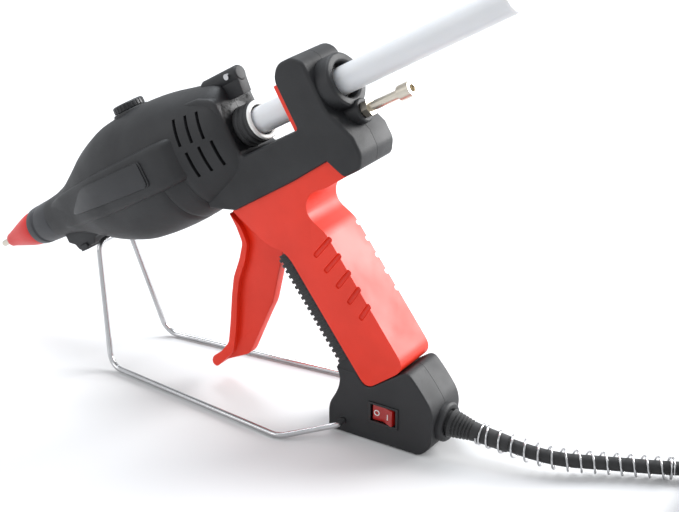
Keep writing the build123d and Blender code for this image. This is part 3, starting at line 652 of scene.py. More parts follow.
# ---------------------------------------------------------------- the case
@dataclass
class BarrelCase:
    """The rounded body round the melt chamber, in two halves, with its pods and inset panels."""

    outline: tuple[tuple[float, float, float], ...] = (
        (70, 15, 15), (84, 18.6, 16.6), (100, 23, 20.6), (115, 26.8, 27.6), (130, 31, 35), (145, 34, 40.2),
        (158, 35.6, 43.2), (186, 37.2, 44.6), (214, 35.6, 43), (240, 30, 38.4), (262, 24.5, 34), (268, 20, 31))
    pod: tuple[tuple[float, float, float], ...] = (
        (74, 13, 9.5), (84, 17, 11), (100, 22.6, 13), (150, 36.6, 15), (200, 39.5, 15.5), (224, 37.5, 15.2),
        (231, 30, 14.5), (232.5, 24, 14))
    pod_h: float = 1.0
    panel: tuple[Point, ...] = ((110, -3.5), (137, 11.5), (203, 10.5), (203, -7.5))
    vents: tuple[Point, ...] = ((234, 7), (243, 6), (252, 5), (236, -16), (246, -16), (256, -16))
    slot_width: float = 2.2
    slot_tall: float = 18.0
    slot_reach: float = 46.0
    drum_steps: tuple[float, float] = (207.0, 226.0)
    start: float = 70.0
    end: float = 268.0
    rear_wall: float = 8.0
    squareness: float = 2.25
    pod_start: float = 74.0
    pod_length: float = 158.5
    pod_corner: float = 4.5
    pod_flat: float = 0.62
    pod_turn: float = 0.18
    crown: float = 0.5

    def reach(self, s: float) -> float:
        """How far the pod's outer face stands from the middle."""
        return between(self.pod, s, 1)

    def dome_point(self, side: Side, u: float, v: float) -> Point3:
        """A point of a half's surface: u along the barrel, v from underneath to the top."""
        along = self.start + (self.end + self.rear_wall - self.start) * u
        s = min(self.end, along)
        angle = math.radians(-90 + 180 * v)
        shrink = 1 - 0.42 * max(0.0, along - self.end) / self.rear_wall
        wide, high = between(self.outline, s, 1) * shrink, between(self.outline, s, 2) * shrink
        power = 2 / self.squareness
        across, up = math.cos(angle), math.sin(angle)
        if up < -0.2:
            for step in self.drum_steps:
                high -= 1.6 * max(0.0, 1 - abs(s - step) / 2.2)
                wide -= 1.2 * max(0.0, 1 - abs(s - step) / 2.2)
        y = wide * abs(across) ** power
        h = high * math.copysign(abs(up) ** power, up)
        return (s, side.value * (SEAM + max(y, 0.0)), h)

    def slot_cutters(self, side: Side, inner: float) -> list[bmesh.types.BMesh]:
        """Make the blocks that cut the cooling slots of a half, from a distance off the middle outwards."""
        low, high = sorted((side.value * inner, side.value * self.slot_reach))
        return [block((s, low, h), (s + self.slot_width, high, h + self.slot_tall)) for s, h in self.vents]

    def build_dome(self, side: Side) -> None:
        """Build the rounded half with its cooling slots."""
        def surface(u: float, v: float) -> Point3:
            return self.dome_point(side, u, v)
        bm = patch(90, 56, surface)
        slots = self.slot_cutters(side, 16.0)
        bore = lathe([(254, 0), (254, 14.1), (272, 14.1), (272, 0)], False, 64)
        sled_way = block((250, -9.8, -31.8), (272, 9.8, -21.8))
        piece = Piece(f"barrel_case_{side.word}", "gun", CASE, (side.shell,), BARREL, 2.4, 42.0,
                      slots + [bore, sled_way])
        if side is Side.RIGHT:
            bmesh.ops.reverse_faces(bm, faces=bm.faces)
        piece.build(bm)

    def build_pod(self, side: Side) -> None:
        """Build the long raised pod with its creased edges."""
        def surface(u: float, v: float) -> Point3:
            s = self.pod_start + self.pod_length * u
            wide, high, corner = self.reach(s), between(self.pod, s, 2), self.pod_corner
            lap = -1 + 2 * v
            if abs(lap) < self.pod_flat:
                y = wide + self.crown * (1 - (lap / self.pod_flat) ** 2)
                h = lap / self.pod_flat * (high - corner)
            else:
                past = abs(lap) - self.pod_flat
                turn = min(1.0, past / self.pod_turn) * math.pi / 2
                inner = max(0.0, (past - self.pod_turn) / (1 - self.pod_flat - self.pod_turn))
                y = wide - corner + corner * math.cos(turn) - inner * (wide - corner - 8)
                h = math.copysign(high - corner + corner * math.sin(turn), lap)
            return (s, side.value * y, self.pod_h + h)
        bm = patch(64, 40, surface)
        if side is Side.RIGHT:
            bmesh.ops.reverse_faces(bm, faces=bm.faces)
        Piece(f"pod_{side.word}", "gun", CASE, (side.shell,), BARREL, 2.0, 30.0).build(bm)

    def build_panel(self, side: Side) -> None:
        """Build the thin panel let into the pod, with a narrow groove round it."""
        for name, grow, proud, finish in (("panel_rim", 1.2, 0.9, CASE), ("side_panel", -0.7, 1.5, PANEL)):
            middle = Vector((sum(p[0] for p in self.panel) / 4, sum(p[1] for p in self.panel) / 4))
            corners = []
            for point in self.panel:
                away = Vector(point) - middle
                corners.append(tuple(Vector(point) + away.normalized() * grow))
            outline = smooth_corners(corners, {0: 9, 1: 7, 2: 4, 3: 4})
            bm = outline_solid(outline, 0.0, 2.0)
            for cut in range(112, 203, 6):
                bmesh.ops.bisect_plane(bm, geom=bm.verts[:] + bm.edges[:] + bm.faces[:], plane_co=(cut, 0, 0),
                                       plane_no=(1, 0, 0), dist=0.0001)
            for vert in bm.verts:
                top = vert.co.y > 1.0
                lap = (vert.co.z - self.pod_h) / (between(self.pod, vert.co.x, 2) - self.pod_corner)
                crown = self.crown * (1 - min(1.0, lap * lap)) if top else 0.0
                vert.co.y = side.value * (self.reach(vert.co.x) + crown + (proud if top else -1.0))
            bmesh.ops.recalc_face_normals(bm, faces=bm.faces)
            soften(bm, 0.35, 2, 50.0)
            stands = (f"{side.word}_side_panel",) if name == "side_panel" else (side.shell,)
            Piece(f"{name}_{side.word}", "gun", finish, stands, BARREL).build(bm)

    def build_lug(self) -> None:
        """Build the lug on top that carries the hang-up pin."""
        tube = lathe([(249, 0), (249, 4.4), (251, 5.6), (281.6, 5.6), (283, 4.6), (283, 0)], False, 40, 0.5)
        lift(tube, 33.5)
        web = outline_solid([(249, 34), (283, 34), (281, 20), (252, 20)], -4.6, 4.6)
        soften(web, 0.8, 2)
        Piece("hang_lug", "gun", CASE, ("left_shell",), BARREL).build(gather([tube, web]))

    def build(self) -> None:
        """Build both halves and the lug."""
        for side in Side:
            self.build_dome(side)
            self.build_pod(side)
            self.build_panel(side)
        self.build_lug()


@dataclass
class RearHousing:
    """The block behind the gap, with the saddle in front of it and the rear guide collar."""

    outline: tuple[Point, ...] = (
        (224, -38), (243, -46), (297, -44), (330, -41), (337, -54.5), (351, -54), (357, -46), (357, -34),
        (347, -12), (347, 21), (341, 27), (327, 27), (320, 19), (320, -16), (268, -16), (268, 25), (255, 30),
        (232, 32))
    half: float = 20.0
    screw_h: float = -22.0

    def build_half(self, side: Side) -> None:
        """Build one half as a hollow moulding with rounded outer edges."""
        corners = smooth_corners(self.outline, {4: 3, 5: 3, 6: 3, 8: 4, 9: 4, 10: 5, 11: 5, 12: 4, 13: 3, 14: 3, 15: 5})
        bm = outline_solid(corners, SEAM, self.half)
        soften(bm, 7.0, 6, 40.0, lambda middle, way: middle.y > self.half - 0.5 and abs(way.y) < 0.1)
        open_seam(bm)
        if side is Side.LEFT:
            mirror(bm)
        bore = lathe([(258, 0), (258, 14.1), (336, 14.1), (336, 0)], False, 64)
        rear = lathe([(340, 0), (340, 12), (362, 12), (362, 0)], False, 64)
        screw = lathe([(340, 0), (340, 4.6), (362, 4.6), (362, 0)], False, 32)
        lift(screw, self.screw_h)
        inner = outline_solid([(218, -50), (335, -50), (318, -40), (300, -38), (222, -34)], -6, 6)
        slots = BarrelCase().slot_cutters(side, 12.0)
        Piece(f"rear_housing_{side.word}", "gun", CASE, (side.shell,), BARREL, 2.8, 36.0,
              [bore, rear, screw, inner] + slots).build(bm)

    def build(self) -> None:
        """Build the halves, the guide collar and the screw's boss."""
        for side in Side:
            self.build_half(side)
        collar = lathe([(344, 12), (344, 18), (356.8, 18), (358, 16.8), (358, 13.2), (357, 12)], True, 80, 0.35)
        Piece("rear_guide_collar", "gun", CASE, ("right_shell",), BARREL).build(collar)
        boss = lathe([(346, 4.6), (346, 8.4), (359.6, 8), (360.5, 7.2), (360.5, 4.6)], True, 48, 0.3)
        lift(boss, self.screw_h)
        Piece("screw_boss", "gun", CASE, ("right_shell",), BARREL).build(boss)


@dataclass
class Handle:
    """The red grip cover, the ribbed pad in front, and the black foot with its switch opening."""

    half: float = 17.5
    base_half: float = 18.0
    cable_z: float = 20.5
    back: float = 156.2
    front: float = 107.4
    pad_back: float = 119.0
    cover_end: float = 43.0
    trigger_gap: tuple[Point, ...] = (
        (20, 139), (50, 161), (70, 155), (71.5, 140), (70, 116), (66, 94), (48, 84), (24, 97))
    gap_half: float = 5.6
    rib_count: int = 20
    rib_pitch: float = 4.0
    rib_width: float = 2.4
    slots: tuple[tuple[float, float, float], ...] = (
        (138, -48.6, -55.2), (139, -36.6, -43.2), (141, -24.2, -31), (142.6, -11.6, -19), (144.4, 1.0, -6.6))

    def cover_outline(self) -> list[Point]:
        """The side outline of the red cover, in (x, z)."""
        corners = [flat(241, -45.2), flat(297, -43.0), flat(330, -40.0), flat(336.5, -54.6), (90, 171), (79, 166),
                   (74.5, 157), (77, 148), grip(self.back, -58), grip(self.back, self.cover_end),
                   grip(self.pad_back + 0.3, self.cover_end), grip(self.pad_back + 0.3, -60), (44, 121), (17, 139)]
        return smooth_corners(corners, {4: 3, 5: 5, 6: 5, 7: 6, 8: 4, 9: 10, 10: 8, 11: 10, 12: 10}, 8)

    def build_cover(self) -> None:
        """Build the red cover with its five finger slots on each side."""
        bm = outline_solid(self.cover_outline(), -self.half, self.half)

        def rear(middle: Vector, way: Vector) -> bool:
            n = 0.8 * middle.x + 0.6 * middle.z
            return abs(way.y) < 0.1 and abs(middle.y) > self.half - 0.5 and n > 150 and middle.z < 150
        soften(bm, 11.0, 8, 40.0, rear)
        soften(bm, 2.2, 4, 55.0, lambda middle, way: abs(way.y) < 0.1 and abs(middle.y) > self.half - 0.5)
        cuts = [outline_solid(self.trigger_gap, -self.gap_half, self.gap_half)]
        for n, d_low, d_high in self.slots:
            for side in Side:
                low = Vector((grip(n, d_low)[0], 0, grip(n, d_low)[1]))
                high = Vector((grip(self.back + 6, d_high)[0], 0, grip(self.back + 6, d_high)[1]))
                way = (high - low).normalized()
                rod = lathe([(0, 0), (0.8, 1.5), (2.2, 1.9), ((high - low).length, 1.9), ((high - low).length, 0)],
                            False, 20)
                turn_to(rod, low + Vector((0, side.value * (self.half + 0.3), 0)),
                        (way + Vector((0, -side.value * 0.05, 0))).normalized())
                cuts.append(rod)
        Piece("grip_cover_shape", "gun", RED, ("grip_cover",), WORLD, 0.0, 34.0, cuts).build(bm)

    def build_pad(self) -> None:
        """Build the black pad with ribs across the front of the grip."""
        outline = [grip(self.front + 1.4, -60), grip(self.front + 1.4, 20), grip(self.pad_back, 20),
                   grip(self.pad_back, -60)]
        base = outline_solid(outline, -16.6, 16.6)
        soften(base, 4.5, 5, 40.0, lambda middle, way: abs(way.y) < 0.1 and 0.8 * middle.x + 0.6 * middle.z < 112)
        ribs = []
        for number in range(self.rib_count):
            d = -58 + self.rib_pitch * number
            end = d + self.rib_width
            rib = outline_solid([grip(self.front + 0.2, d), grip(self.front + 0.2, end),
                                 grip(self.pad_back - 1.2, end), grip(self.pad_back - 1.2, d)], -17.1, 17.1)
            soften(rib, 4.0, 4, 40.0, lambda middle, way: abs(way.y) < 0.1 and 0.8 * middle.x + 0.6 * middle.z < 110
                   and abs(way.x * 0.6 - way.z * 0.8) > 0.5)
            soften(rib, 0.6, 2, 40.0)
            ribs.append(rib)
        gap = outline_solid(self.trigger_gap, -self.gap_half, self.gap_half)
        Piece("grip_pad_shape", "gun", SOFT_BLACK, ("grip_pad",), WORLD, 0.0, 34.0, [gap]).build(
            gather([base] + ribs))

    def build_foot(self) -> None:
        """Build the foot of the handle in two halves, with the neck above it and the cable boss."""
        corners = [(92, 0), (162, 0), (170, 7), (172, 34), (160, 50), (151.5, 58.6), (121, 36.8), (113, 47), (98, 47),
                   (101, 40), (99, 30), (92, 18)]
        outline = smooth_corners(corners, {0: 2, 1: 3, 2: 6, 3: 8, 4: 8, 5: 5, 6: 8, 9: 5, 10: 6, 11: 5})
        for side in Side:
            bm = outline_solid(outline, SEAM, self.base_half)
            soften(bm, 3.0, 5, 40.0, lambda middle, way: middle.y > self.base_half - 0.5 and abs(way.y) < 0.1)
            open_seam(bm)
            cuts = [lathe([(0, 0), (0, 2.3), (40, 2.3), (40, 0)], False, 24)]
            turn_to(cuts[0], Vector((104, -20, 9)), Vector((0, 1, 0)))
            if side is Side.LEFT:
                mirror(bm)
                cuts.append(block((124.8, -20, 14.8), (145.2, -10, 29.2)))
            Piece(f"handle_foot_{side.word}", "gun", CASE, (side.shell,), WORLD, 3.2, 36.0, cuts).build(bm)
            neck = outline_solid(smooth_corners([grip(self.front, 20.2), grip(self.front, 47), grip(self.pad_back, 50),
                                                 grip(self.pad_back, 20.2)], {0: 2, 1: 4}), SEAM, 17.2)
            soften(neck, 5.0, 5, 40.0, lambda middle, way: middle.y > 16 and abs(way.y) < 0.1
                   and 0.8 * middle.x + 0.6 * middle.z < 111)
            if side is Side.LEFT:
                mirror(neck)
            Piece(f"handle_neck_{side.word}", "gun", CASE, (side.shell,), WORLD).build(neck)
        boss = lathe([(158, 8), (158, 13.6), (173.4, 13.4), (175, 12), (175, 9), (174, 8)], True, 64, 0.4)
        lift(boss, self.cable_z)
        Piece("cable_boss", "gun", CASE, ("right_shell",), WORLD).build(boss)

    def build(self) -> None:
        """Build the cover, the pad and the foot."""
        self.build_cover()
        self.build_pad()
        self.build_foot()


@dataclass
class Trigger:
    """The long red trigger: a wide front flange on a narrower blade, and the finger that works the feed."""

    flange: tuple[Point, ...] = (
        (6, 133), (12, 124), (17, 113), (14, 100), (9, 86), (7, 72), (5, 50), (3, 34), (-5, 24), (-11, 20),
        (-12, 15), (-8, 12), (6, 27), (8, 34), (10, 50), (11.5, 72), (13.5, 85), (18.5, 99), (21, 113), (16, 124))
    blade: tuple[Point, ...] = (
        (7, 133), (13, 124), (18, 113), (15, 100), (10, 86), (8, 72), (6, 50), (4, 35), (-2, 25), (-6, 16), (4, 21),
        (18, 28), (34, 64), (38, 72), (48, 116), (67, 140), (60, 153), (20, 137))

    def build(self) -> None:
        """Build the trigger on its own body."""
        radii = {number: 3.0 for number in range(len(self.flange))}
        wide = outline_solid(smooth_corners(self.flange, radii, 4), -8, 8)
        soften(wide, 1.6, 4, 50.0, lambda middle, way: abs(way.y) < 0.1)
        radii = {number: 4.0 for number in range(1, len(self.blade))}
        thin = outline_solid(smooth_corners(self.blade, radii, 4), -4, 4)
        soften(thin, 1.4, 3, 50.0, lambda middle, way: abs(way.y) < 0.1)
        pivot = flat(282, -62)
        tip = flat(282 + 36 * math.sin(math.radians(11)), -62 + 36 * math.cos(math.radians(11)))
        hub = lathe([(-5, 3.05), (-5, 7), (5, 7), (5, 3.05)], True, 40, 0.4)
        turn_to(hub, Vector((pivot[0], 0, pivot[1])), Vector((0, 1, 0)))
        knuckle = lathe([(-4, 0), (-4, 4), (4, 4), (4, 0)], False, 32, 0.4)
        turn_to(knuckle, Vector((tip[0], 0, tip[1])), Vector((0, 1, 0)))
        way = (Vector(tip) - Vector(pivot)).normalized()
        side = Vector((-way.y, way.x))
        arm = outline_solid([tuple(Vector(pivot) + side * 5 + way * 3.2), tuple(Vector(pivot) - side * 5 + way * 3.2),
                             tuple(Vector(tip) - side * 2.8), tuple(Vector(tip) + side * 2.8)], -4, 4)
        Piece("trigger_shape", "trigger", RED, ("trigger",), WORLD, 0.0, 34.0).build(
            gather([wide, thin, hub, knuckle, arm]))


@dataclass
class NozzleEnd:
    """The steel tip, its red silicone sleeve, the collar behind it and the bracket under the barrel."""

    def build(self) -> None:
        """Build the front of the gun."""
        tip = lathe([(0, 1.2), (0, 2.0), (0.6, 2.3), (9, 2.7), (12, 3.6), (42, 9.6), (46.7, 9.6), (46.7, 11.9),
                     (82, 11.9), (82, 5), (66, 5), (64, 3), (61, 3), (60.2, 4.6), (40, 4.6), (36, 1.2)], True, 72, 0.2)
        Piece("nozzle_tip", "gun", TIP_METAL, ("nozzle",), BARREL).build(tip)
        sleeve = lathe([(10, 3.3), (9.6, 4.4), (10.6, 5.1), (14, 5.8), (24, 8.7), (33, 11.2), (38, 12.3), (42, 12.8),
                        (44.4, 12.7), (45, 12), (45, 9.8), (42, 9.75), (12, 3.75)], True, 80, 0.25)
        Piece("nozzle_sleeve_shape", "gun", RED_SILICONE, ("nozzle_sleeve",), BARREL).build(sleeve)
        collar = lathe([(45.3, 9.8), (45.3, 13), (46.2, 13.8), (50, 14.2), (52, 14.3), (52.6, 13.6), (54.4, 13.6),
                        (55, 14.4), (69, 15), (69.8, 14.6), (69.8, 12.1), (46.6, 12.1), (46.6, 9.8)], True, 80, 0.25)
        Piece("front_collar_shape", "gun", GREY, ("front_collar",), BARREL).build(collar)
        foot = outline_solid(
            [(74, -12), (74, -20), (79, -23), (81, -28), (98, -28), (101, -24), (106, -23), (106, -12)], -9, 9)
        soften(foot, 1.2, 3, 40.0)
        clip = block((84, -10.5, -29.6), (92, 10.5, -25), 0.8)
        Piece("stand_clip_shape", "gun", CASE, ("stand_clip",), BARREL).build(gather([foot, clip]))


@dataclass
class InletEnd:
    """The ribbed inlet collar with its ring, painted pale as a painted highlight of the backlight on black plastic, and
    the glue stick.
    """

    def build(self) -> None:
        """Build the collar, the ring and the stick."""
        collar = lathe([(262.4, 9.8), (262.4, 12.6), (268.2, 12.6), (268.6, 13.9), (271.6, 13.9), (272.2, 12.8),
                        (273.8, 12.8), (274.4, 13.9), (276.6, 13.9), (277.2, 12.8), (278.4, 12.8), (279, 13.9),
                        (281, 13.7), (281, 9.8)], True, 80, 0.25)
        Piece("inlet_collar_shape", "gun", SOFT_BLACK, ("inlet_collar",), BARREL).build(collar)
        # The ring is black plastic lit hard from behind; its pale PTFE finish is a painted highlight.
        ring = lathe([(281.05, 10.4), (281.05, 13.5), (282.4, 13.5), (283, 12.9), (283, 11.2), (282.3, 10.4)], True,
                     80, 0.25)
        Piece("inlet_ring_painted_highlight", "gun", PTFE, ("inlet_ring",), BARREL).build(ring)
        stick = lathe([(190, 0), (190, 7.6), (191.4, 9)] + [(s, 9 - 0.05 * (s % 2)) for s in range(200, 489, 6)]
                      + [(489.2, 8.95), (489.8, 8.5), (490, 7.8), (489.5, 4), (489.3, 0)], False, 72)
        Piece("glue_stick_shape", "stick", GLUE, ("glue_stick",), BARREL, 0.0, 60.0).build(stick)


@dataclass
class Controls:
    """The temperature knob on top and the rocker in the foot."""

    knob_s: float = 180.0
    grooves: int = 24

    def build_knob(self) -> None:
        """Build the knob with its grooved rim and pointer."""
        cap = lathe([(39.2, 0), (39.2, 3), (45.6, 3), (45.6, 11.3), (49.6, 11.1), (50.5, 10), (50.5, 6.4), (50, 5.8),
                     (50, 0)], False, 96, 0.25)
        turn_to(cap, Vector((self.knob_s, 0, 0)), Vector((0, 0, 1)))
        cuts = []
        for number in range(self.grooves):
            angle = 2 * math.pi * number / self.grooves
            rod = lathe([(44, 0), (44, 0.7), (49.2, 0.7), (49.6, 0)], False, 12)
            turn_to(rod, Vector((self.knob_s + 11.4 * math.cos(angle), 11.4 * math.sin(angle), 0)), Vector((0, 0, 1)))
            cuts.append(rod)
        Piece("temperature_knob_shape", "knob", PANEL, ("temperature_knob",), BARREL, 0.0, 34.0, cuts).build(cap)
        seat = lathe([(38.5, 3.6), (38.5, 13.6), (43.6, 13), (45.2, 12.2), (45.2, 3.6)], True, 80, 0.3)
        turn_to(seat, Vector((self.knob_s, 0, 0)), Vector((0, 0, 1)))
        Piece("knob_seat", "gun", CASE, ("left_shell",), BARREL).build(seat)
        mark = block((self.knob_s - 9.6, -0.5, 50.2), (self.knob_s - 6.8, 0.5, 50.55), 0.1)
        Piece("knob_pointer", "knob", PTFE, (), BARREL).build(mark)

    def build_rocker(self) -> None:
        """Build the two-way rocker with its circle and bar."""
        turn = Matrix.Translation((135, -14, 22)) @ Matrix.Rotation(math.radians(-11), 4, "Z")
        profile = [(-8.3, 0.4), (-8.3, -4.4), (-7.7, -4.9), (0, -3.2), (7.7, -4.9), (8.3, -4.4), (8.3, 0.4)]
        body = bmesh.new()
        face = body.faces.new([body.verts.new((x, y, -5.7)) for x, y in profile])
        grown = bmesh.ops.extrude_face_region(body, geom=[face])["geom"]
        bmesh.ops.translate(body, vec=(0, 0, 11.4), verts=[v for v in grown if isinstance(v, bmesh.types.BMVert)])
        bmesh.ops.recalc_face_normals(body, faces=body.faces)
        soften(body, 0.4, 3, 25.0)
        space = WORLD @ turn
        Piece("rocker_shape", "rocker", SWITCH_RED, ("switch_rocker",), space).build(body)
        circle = lathe([(0, 1.5), (0, 2.1), (0.25, 2.1), (0.25, 1.5)], True, 32)
        turn_to(circle, Vector((-4.6, -4.35, 0)), Vector((0.2, -1, 0)))
        bar = block((4.3, -4.45, -2.0), (4.95, -3.9, 2.0))
        Piece("rocker_marks", "rocker", PTFE, (), space).build(gather([circle, bar]))

    def build(self) -> None:
        """Build the knob and the rocker."""
        self.build_knob()
        self.build_rocker()


# ---------------------------------------------------------------- the lead
@dataclass
class MainsLead:
    """The mains lead from the boot to its plug, with the kink spring, the boot and the put-away coil."""

    radius: float = 4.5
    boot_end: Point3 = (216, 4, 15)
    boot_start: Point3 = (175.1, 0, 20.5)
    run: tuple[Point3, ...] = ((241.65, 6.51, 11.55), (273, 27, 8.4), (314, 46, 7.9), (340, 67, 5.8), (361, 89, 5.3))
    middle: Point = (394, 38)
    rings: tuple[float, float, float] = (59.2, 50.0, 40.8)
    layers: tuple[float, float] = (5.2, 14.3)
    tail: tuple[Point3, ...] = ((415, 94.5, 14.4), (438, 84, 15.5), (455, 68.5, 17.5), (463, 58, 19))
    first_angle: float = -97.0
    last_angle: float = 1712.0
    strap_angle: float = -60.0
    turn_points: int = 13
    spring_turns: int = 14
    spring_radius: float = 6.85
    spring_wire: float = 0.75
    spring_pitch: float = 8.6
    close_pitch: float = 1.9
    turn_steps: int = 16
    boot_ribs: int = 6

    def ring_at(self, angle: float) -> tuple[float, float]:
        """Radius and height of the coil at an angle that keeps growing, clockwise."""
        outer, centre, inner = self.rings
        low, high = self.layers
        steps = ((150, 195, outer, centre), (510, 555, centre, inner), (1140, 1190, inner, centre),
                 (1500, 1550, centre, outer))
        radius = outer
        for start, end, before, after in steps:
            if angle >= start:
                radius = before + (after - before) * min(1.0, (angle - start) / (end - start))
        height = low + (high - low) * min(1.0, max(0.0, (angle - 845) / 50))
        return radius, height

    def route(self) -> list[Vector]:
        """The points of the lead, in metres."""
        points = [Vector(self.boot_end)] + [Vector(point) for point in self.run]
        step = 360.0 / self.turn_points
        grow = 1 / math.cos(math.radians(step / 2))
        angle = self.first_angle
        while angle < self.last_angle:
            radius, height = self.ring_at(angle)
            turn = math.radians(angle)
            points.append(Vector((self.middle[0] + radius * grow * math.cos(turn),
                                  self.middle[1] - radius * grow * math.sin(turn), height)))
            angle += step
        points += [Vector(point) for point in self.tail]
        return [point * MM for point in points]

    def spline(self, name: str, points: Sequence[Vector], radius: float) -> bpy.types.Object:
        """Make a curve object with one smooth spline.

        Args:
            name: Name of the piece.
            points: Its points in metres.
            radius: Half its thickness in metres.

        Returns:
            The curve object.
        """
        curve = bpy.data.curves.new(name, "CURVE")
        curve.dimensions = "3D"
        curve.bevel_depth = radius
        curve.bevel_resolution = 5
        curve.resolution_u = 6
        curve.use_fill_caps = True
        line = curve.splines.new("NURBS")
        line.points.add(len(points) - 1)
        for spot, point in zip(line.points, points):
            spot.co = (*point, 1.0)
        line.order_u = 3
        line.use_endpoint_u = True
        obj = bpy.data.objects.new(name, curve)
        bpy.context.scene.collection.objects.link(obj)
        return obj

    def centreline(self, cord: bpy.types.Object) -> list[Vector]:
        """Read the points that the lead's spline really follows."""
        thickness, cord.data.bevel_depth = cord.data.bevel_depth, 0.0
        bpy.context.view_layer.update()
        mesh = bpy.data.meshes.new_from_object(cord.evaluated_get(bpy.context.evaluated_depsgraph_get()))
        points = [vert.co.copy() for vert in mesh.vertices]
        bpy.data.meshes.remove(mesh)
        cord.data.bevel_depth = thickness
        return points

    def helix(self, line: Sequence[Vector]) -> list[Vector]:
        """Wind the kink spring round the lead: close turns at both ends and open ones between.

        Args:
            line: Points of the lead from its exit, in metres.

        Returns:
            Points of the spring's wire.
        """
        boot = (Vector(self.boot_end) - Vector(self.boot_start)).normalized()
        start = (Vector(self.boot_end) - boot * 21) * MM
        path = [start] + [point for point in line if (point - line[0]).dot(boot) >= 0]
        lengths = [0.0]
        for a, b in zip(path, path[1:]):
            lengths.append(lengths[-1] + (b - a).length)
        points = []
        side = boot.cross(Vector((0, 0, 1))).normalized()
        for step in range((self.spring_turns + 3) * self.turn_steps + 1):
            turn = step / self.turn_steps
            open_turns = min(max(turn - 1.5, 0.0), self.spring_turns)
            along = (self.close_pitch * (turn - open_turns) + self.spring_pitch * open_turns) * MM
            number = max(i for i, length in enumerate(lengths) if length <= along)
            number = min(number, len(path) - 2)
            way = (path[number + 1] - path[number]).normalized()
            spot = path[number] + way * (along - lengths[number])
            side = (side - way * side.dot(way)).normalized()
            rise = way.cross(side)
            angle = 2 * math.pi * turn
            radius = self.spring_radius * MM
            points.append(spot + side * (radius * math.cos(angle)) + rise * (radius * math.sin(angle)))
        return points

    def build_boot(self) -> None:
        """Build the tapered rubber boot with its ribs."""
        start, end = Vector(self.boot_start), Vector(self.boot_end)
        length = (end - start).length
        profile = [(-6, 0), (-6, 7.8), (0.8, 7.8), (0.8, 9.6)]
        for number in range(self.boot_ribs):
            at = 3 + number * 2.3
            radius = 9.6 - 0.19 * at
            profile += [(at, radius), (at + 0.3, radius - 1.2), (at + 1.2, radius - 1.3), (at + 1.5, radius - 0.3)]
        profile += [(17.5, 6.3), (22, 5.9), (length - 1, 5.5), (length, 5.1), (length, 0)]
        bm = lathe(profile, False, 48)
        turn_to(bm, start, (end - start).normalized())
        Piece("cord_boot", "gun", SOFT_BLACK, ("strain_relief",), WORLD, 0.0, 34.0).build(bm)

    def build_plug(self) -> bpy.types.Object:
        """Build the round plug at the far end.

        Returns:
            The plug.
        """
        start = Vector(self.tail[-1])
        way = start - Vector(self.tail[-2])
        way.z = 0.0
        profile = [(0, 0), (0, 6.2), (1.2, 6.5), (6, 8.4), (7, 7.6), (8, 9.2), (9, 8.5), (10, 10.6), (11, 9.9),
                   (12, 12.6), (15, 15.4), (18, 16.9), (26, 17.9), (31, 18.4), (32, 17.6), (32, 0)]
        bm = turn_to(lathe(profile, False, 72, 0.25), start, way.normalized())
        return Piece("plug_shape", "gun", SOFT_BLACK, ("mains_plug",), WORLD, 0.0, 34.0).build(bm)

    def build_tie(self) -> bpy.types.Object:
        """Build the flat strap that holds the coil.

        Returns:
            The strap.
        """
        low, high = (-16.1, 0.15), (16.1, 19.4)
        outer = smooth_corners([(low[0], low[1]), (high[0], low[1]), (high[0], high[1]), (low[0], high[1])],
                               {0: 5, 1: 5, 2: 6, 3: 6})
        bm = outline_solid(outer, -6, 6)
        ends = [face for face in bm.faces if abs(face.normal.y) > 0.9]
        bmesh.ops.delete(bm, geom=ends, context="FACES_ONLY")
        bmesh.ops.solidify(bm, geom=bm.faces[:], thickness=0.55)
        buckle = block((10.4, -7.2, 18.9), (15.4, 7.2, 20.3), 0.3)
        bm = gather([bm, buckle])
        angle = math.radians(self.strap_angle)
        turn = Matrix.Translation((self.middle[0] + 50 * math.cos(angle), self.middle[1] + 50 * math.sin(angle), 0))
        space = WORLD @ turn @ Matrix.Rotation(angle, 4, "Z")
        return Piece("coil_strap", "gun", SOFT_BLACK, ("cord_tie",), space).build(bm)

    def build(self) -> None:
        cord = self.spline("mains_lead", self.route(), self.radius * MM)
        cord.data.materials.append(SHEATH.material())
        line = self.centreline(cord)
        spring = self.spline("kink_spring_wire", self.helix(line), self.spring_wire * MM)
        spring.data.bevel_resolution = 2
        spring.data.resolution_u = 2
        spring.data.materials.append(BRIGHT.material())
        for obj, finish, nodes in ((cord, SHEATH, ("mains_cord", "cord_tail", "cord_coil")),
                                   (spring, BRIGHT, ("kink_spring",))):
            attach(obj, "gun")
            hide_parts(*nodes)
        self.build_boot()
        plug, strap = self.build_plug(), self.build_tie()
        length = sum((b - a).length for a, b in zip(line, line[1:]))
        log.info("lead measures %.3f m", length)


# ---------------------------------------------------------------- carried-over nodes, light and camera
@dataclass
class CarriedNodes:
    """The CAD nodes that keep their own shape and get a finish."""

    finishes: dict[str, Finish] = field(default_factory=lambda: {
        "valve_ball": BRIGHT, "valve_spring": SPRING, "melt_chamber": ALUMINIUM, "heaters": TIP_METAL,
        "insulation_sleeve": INSULATION, "thermostat": CERAMIC, "thermal_fuse": CERAMIC, "inlet_sleeve": PTFE,
        "sleeve_clip": SPRING, "rear_bush": SWITCH_BLACK, "feed_carriage": RED, "stick_clamp": SPRING,
        "clamp_spring": SPRING, "guide_rods": BRIGHT, "return_springs": SPRING, "trigger_pin": BRIGHT,
        "trigger_spring": SPRING, "screw_insert": BRASS, "stroke_screw": NICKEL, "lock_nut": NICKEL,
        "control_board": BOARD, "potentiometer": SWITCH_BLACK, "switch_body": SWITCH_BLACK, "terminal_block": PTFE,
        "inner_lead": SHEATH, "cable_clamp": GREY, "clamp_screws": BRIGHT, "hang_pin": BRIGHT, "stand_wire": BRIGHT,
        "plug_pins": TIP_METAL})

    def build(self) -> None:
        """Dress every node that is still shown."""
        for name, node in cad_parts.items():
            if node.hide_render:
                continue
            finish = self.finishes[name]
            node.data.materials.clear()
            node.data.materials.append(finish.material())
            log.info("%s keeps its shape", name)


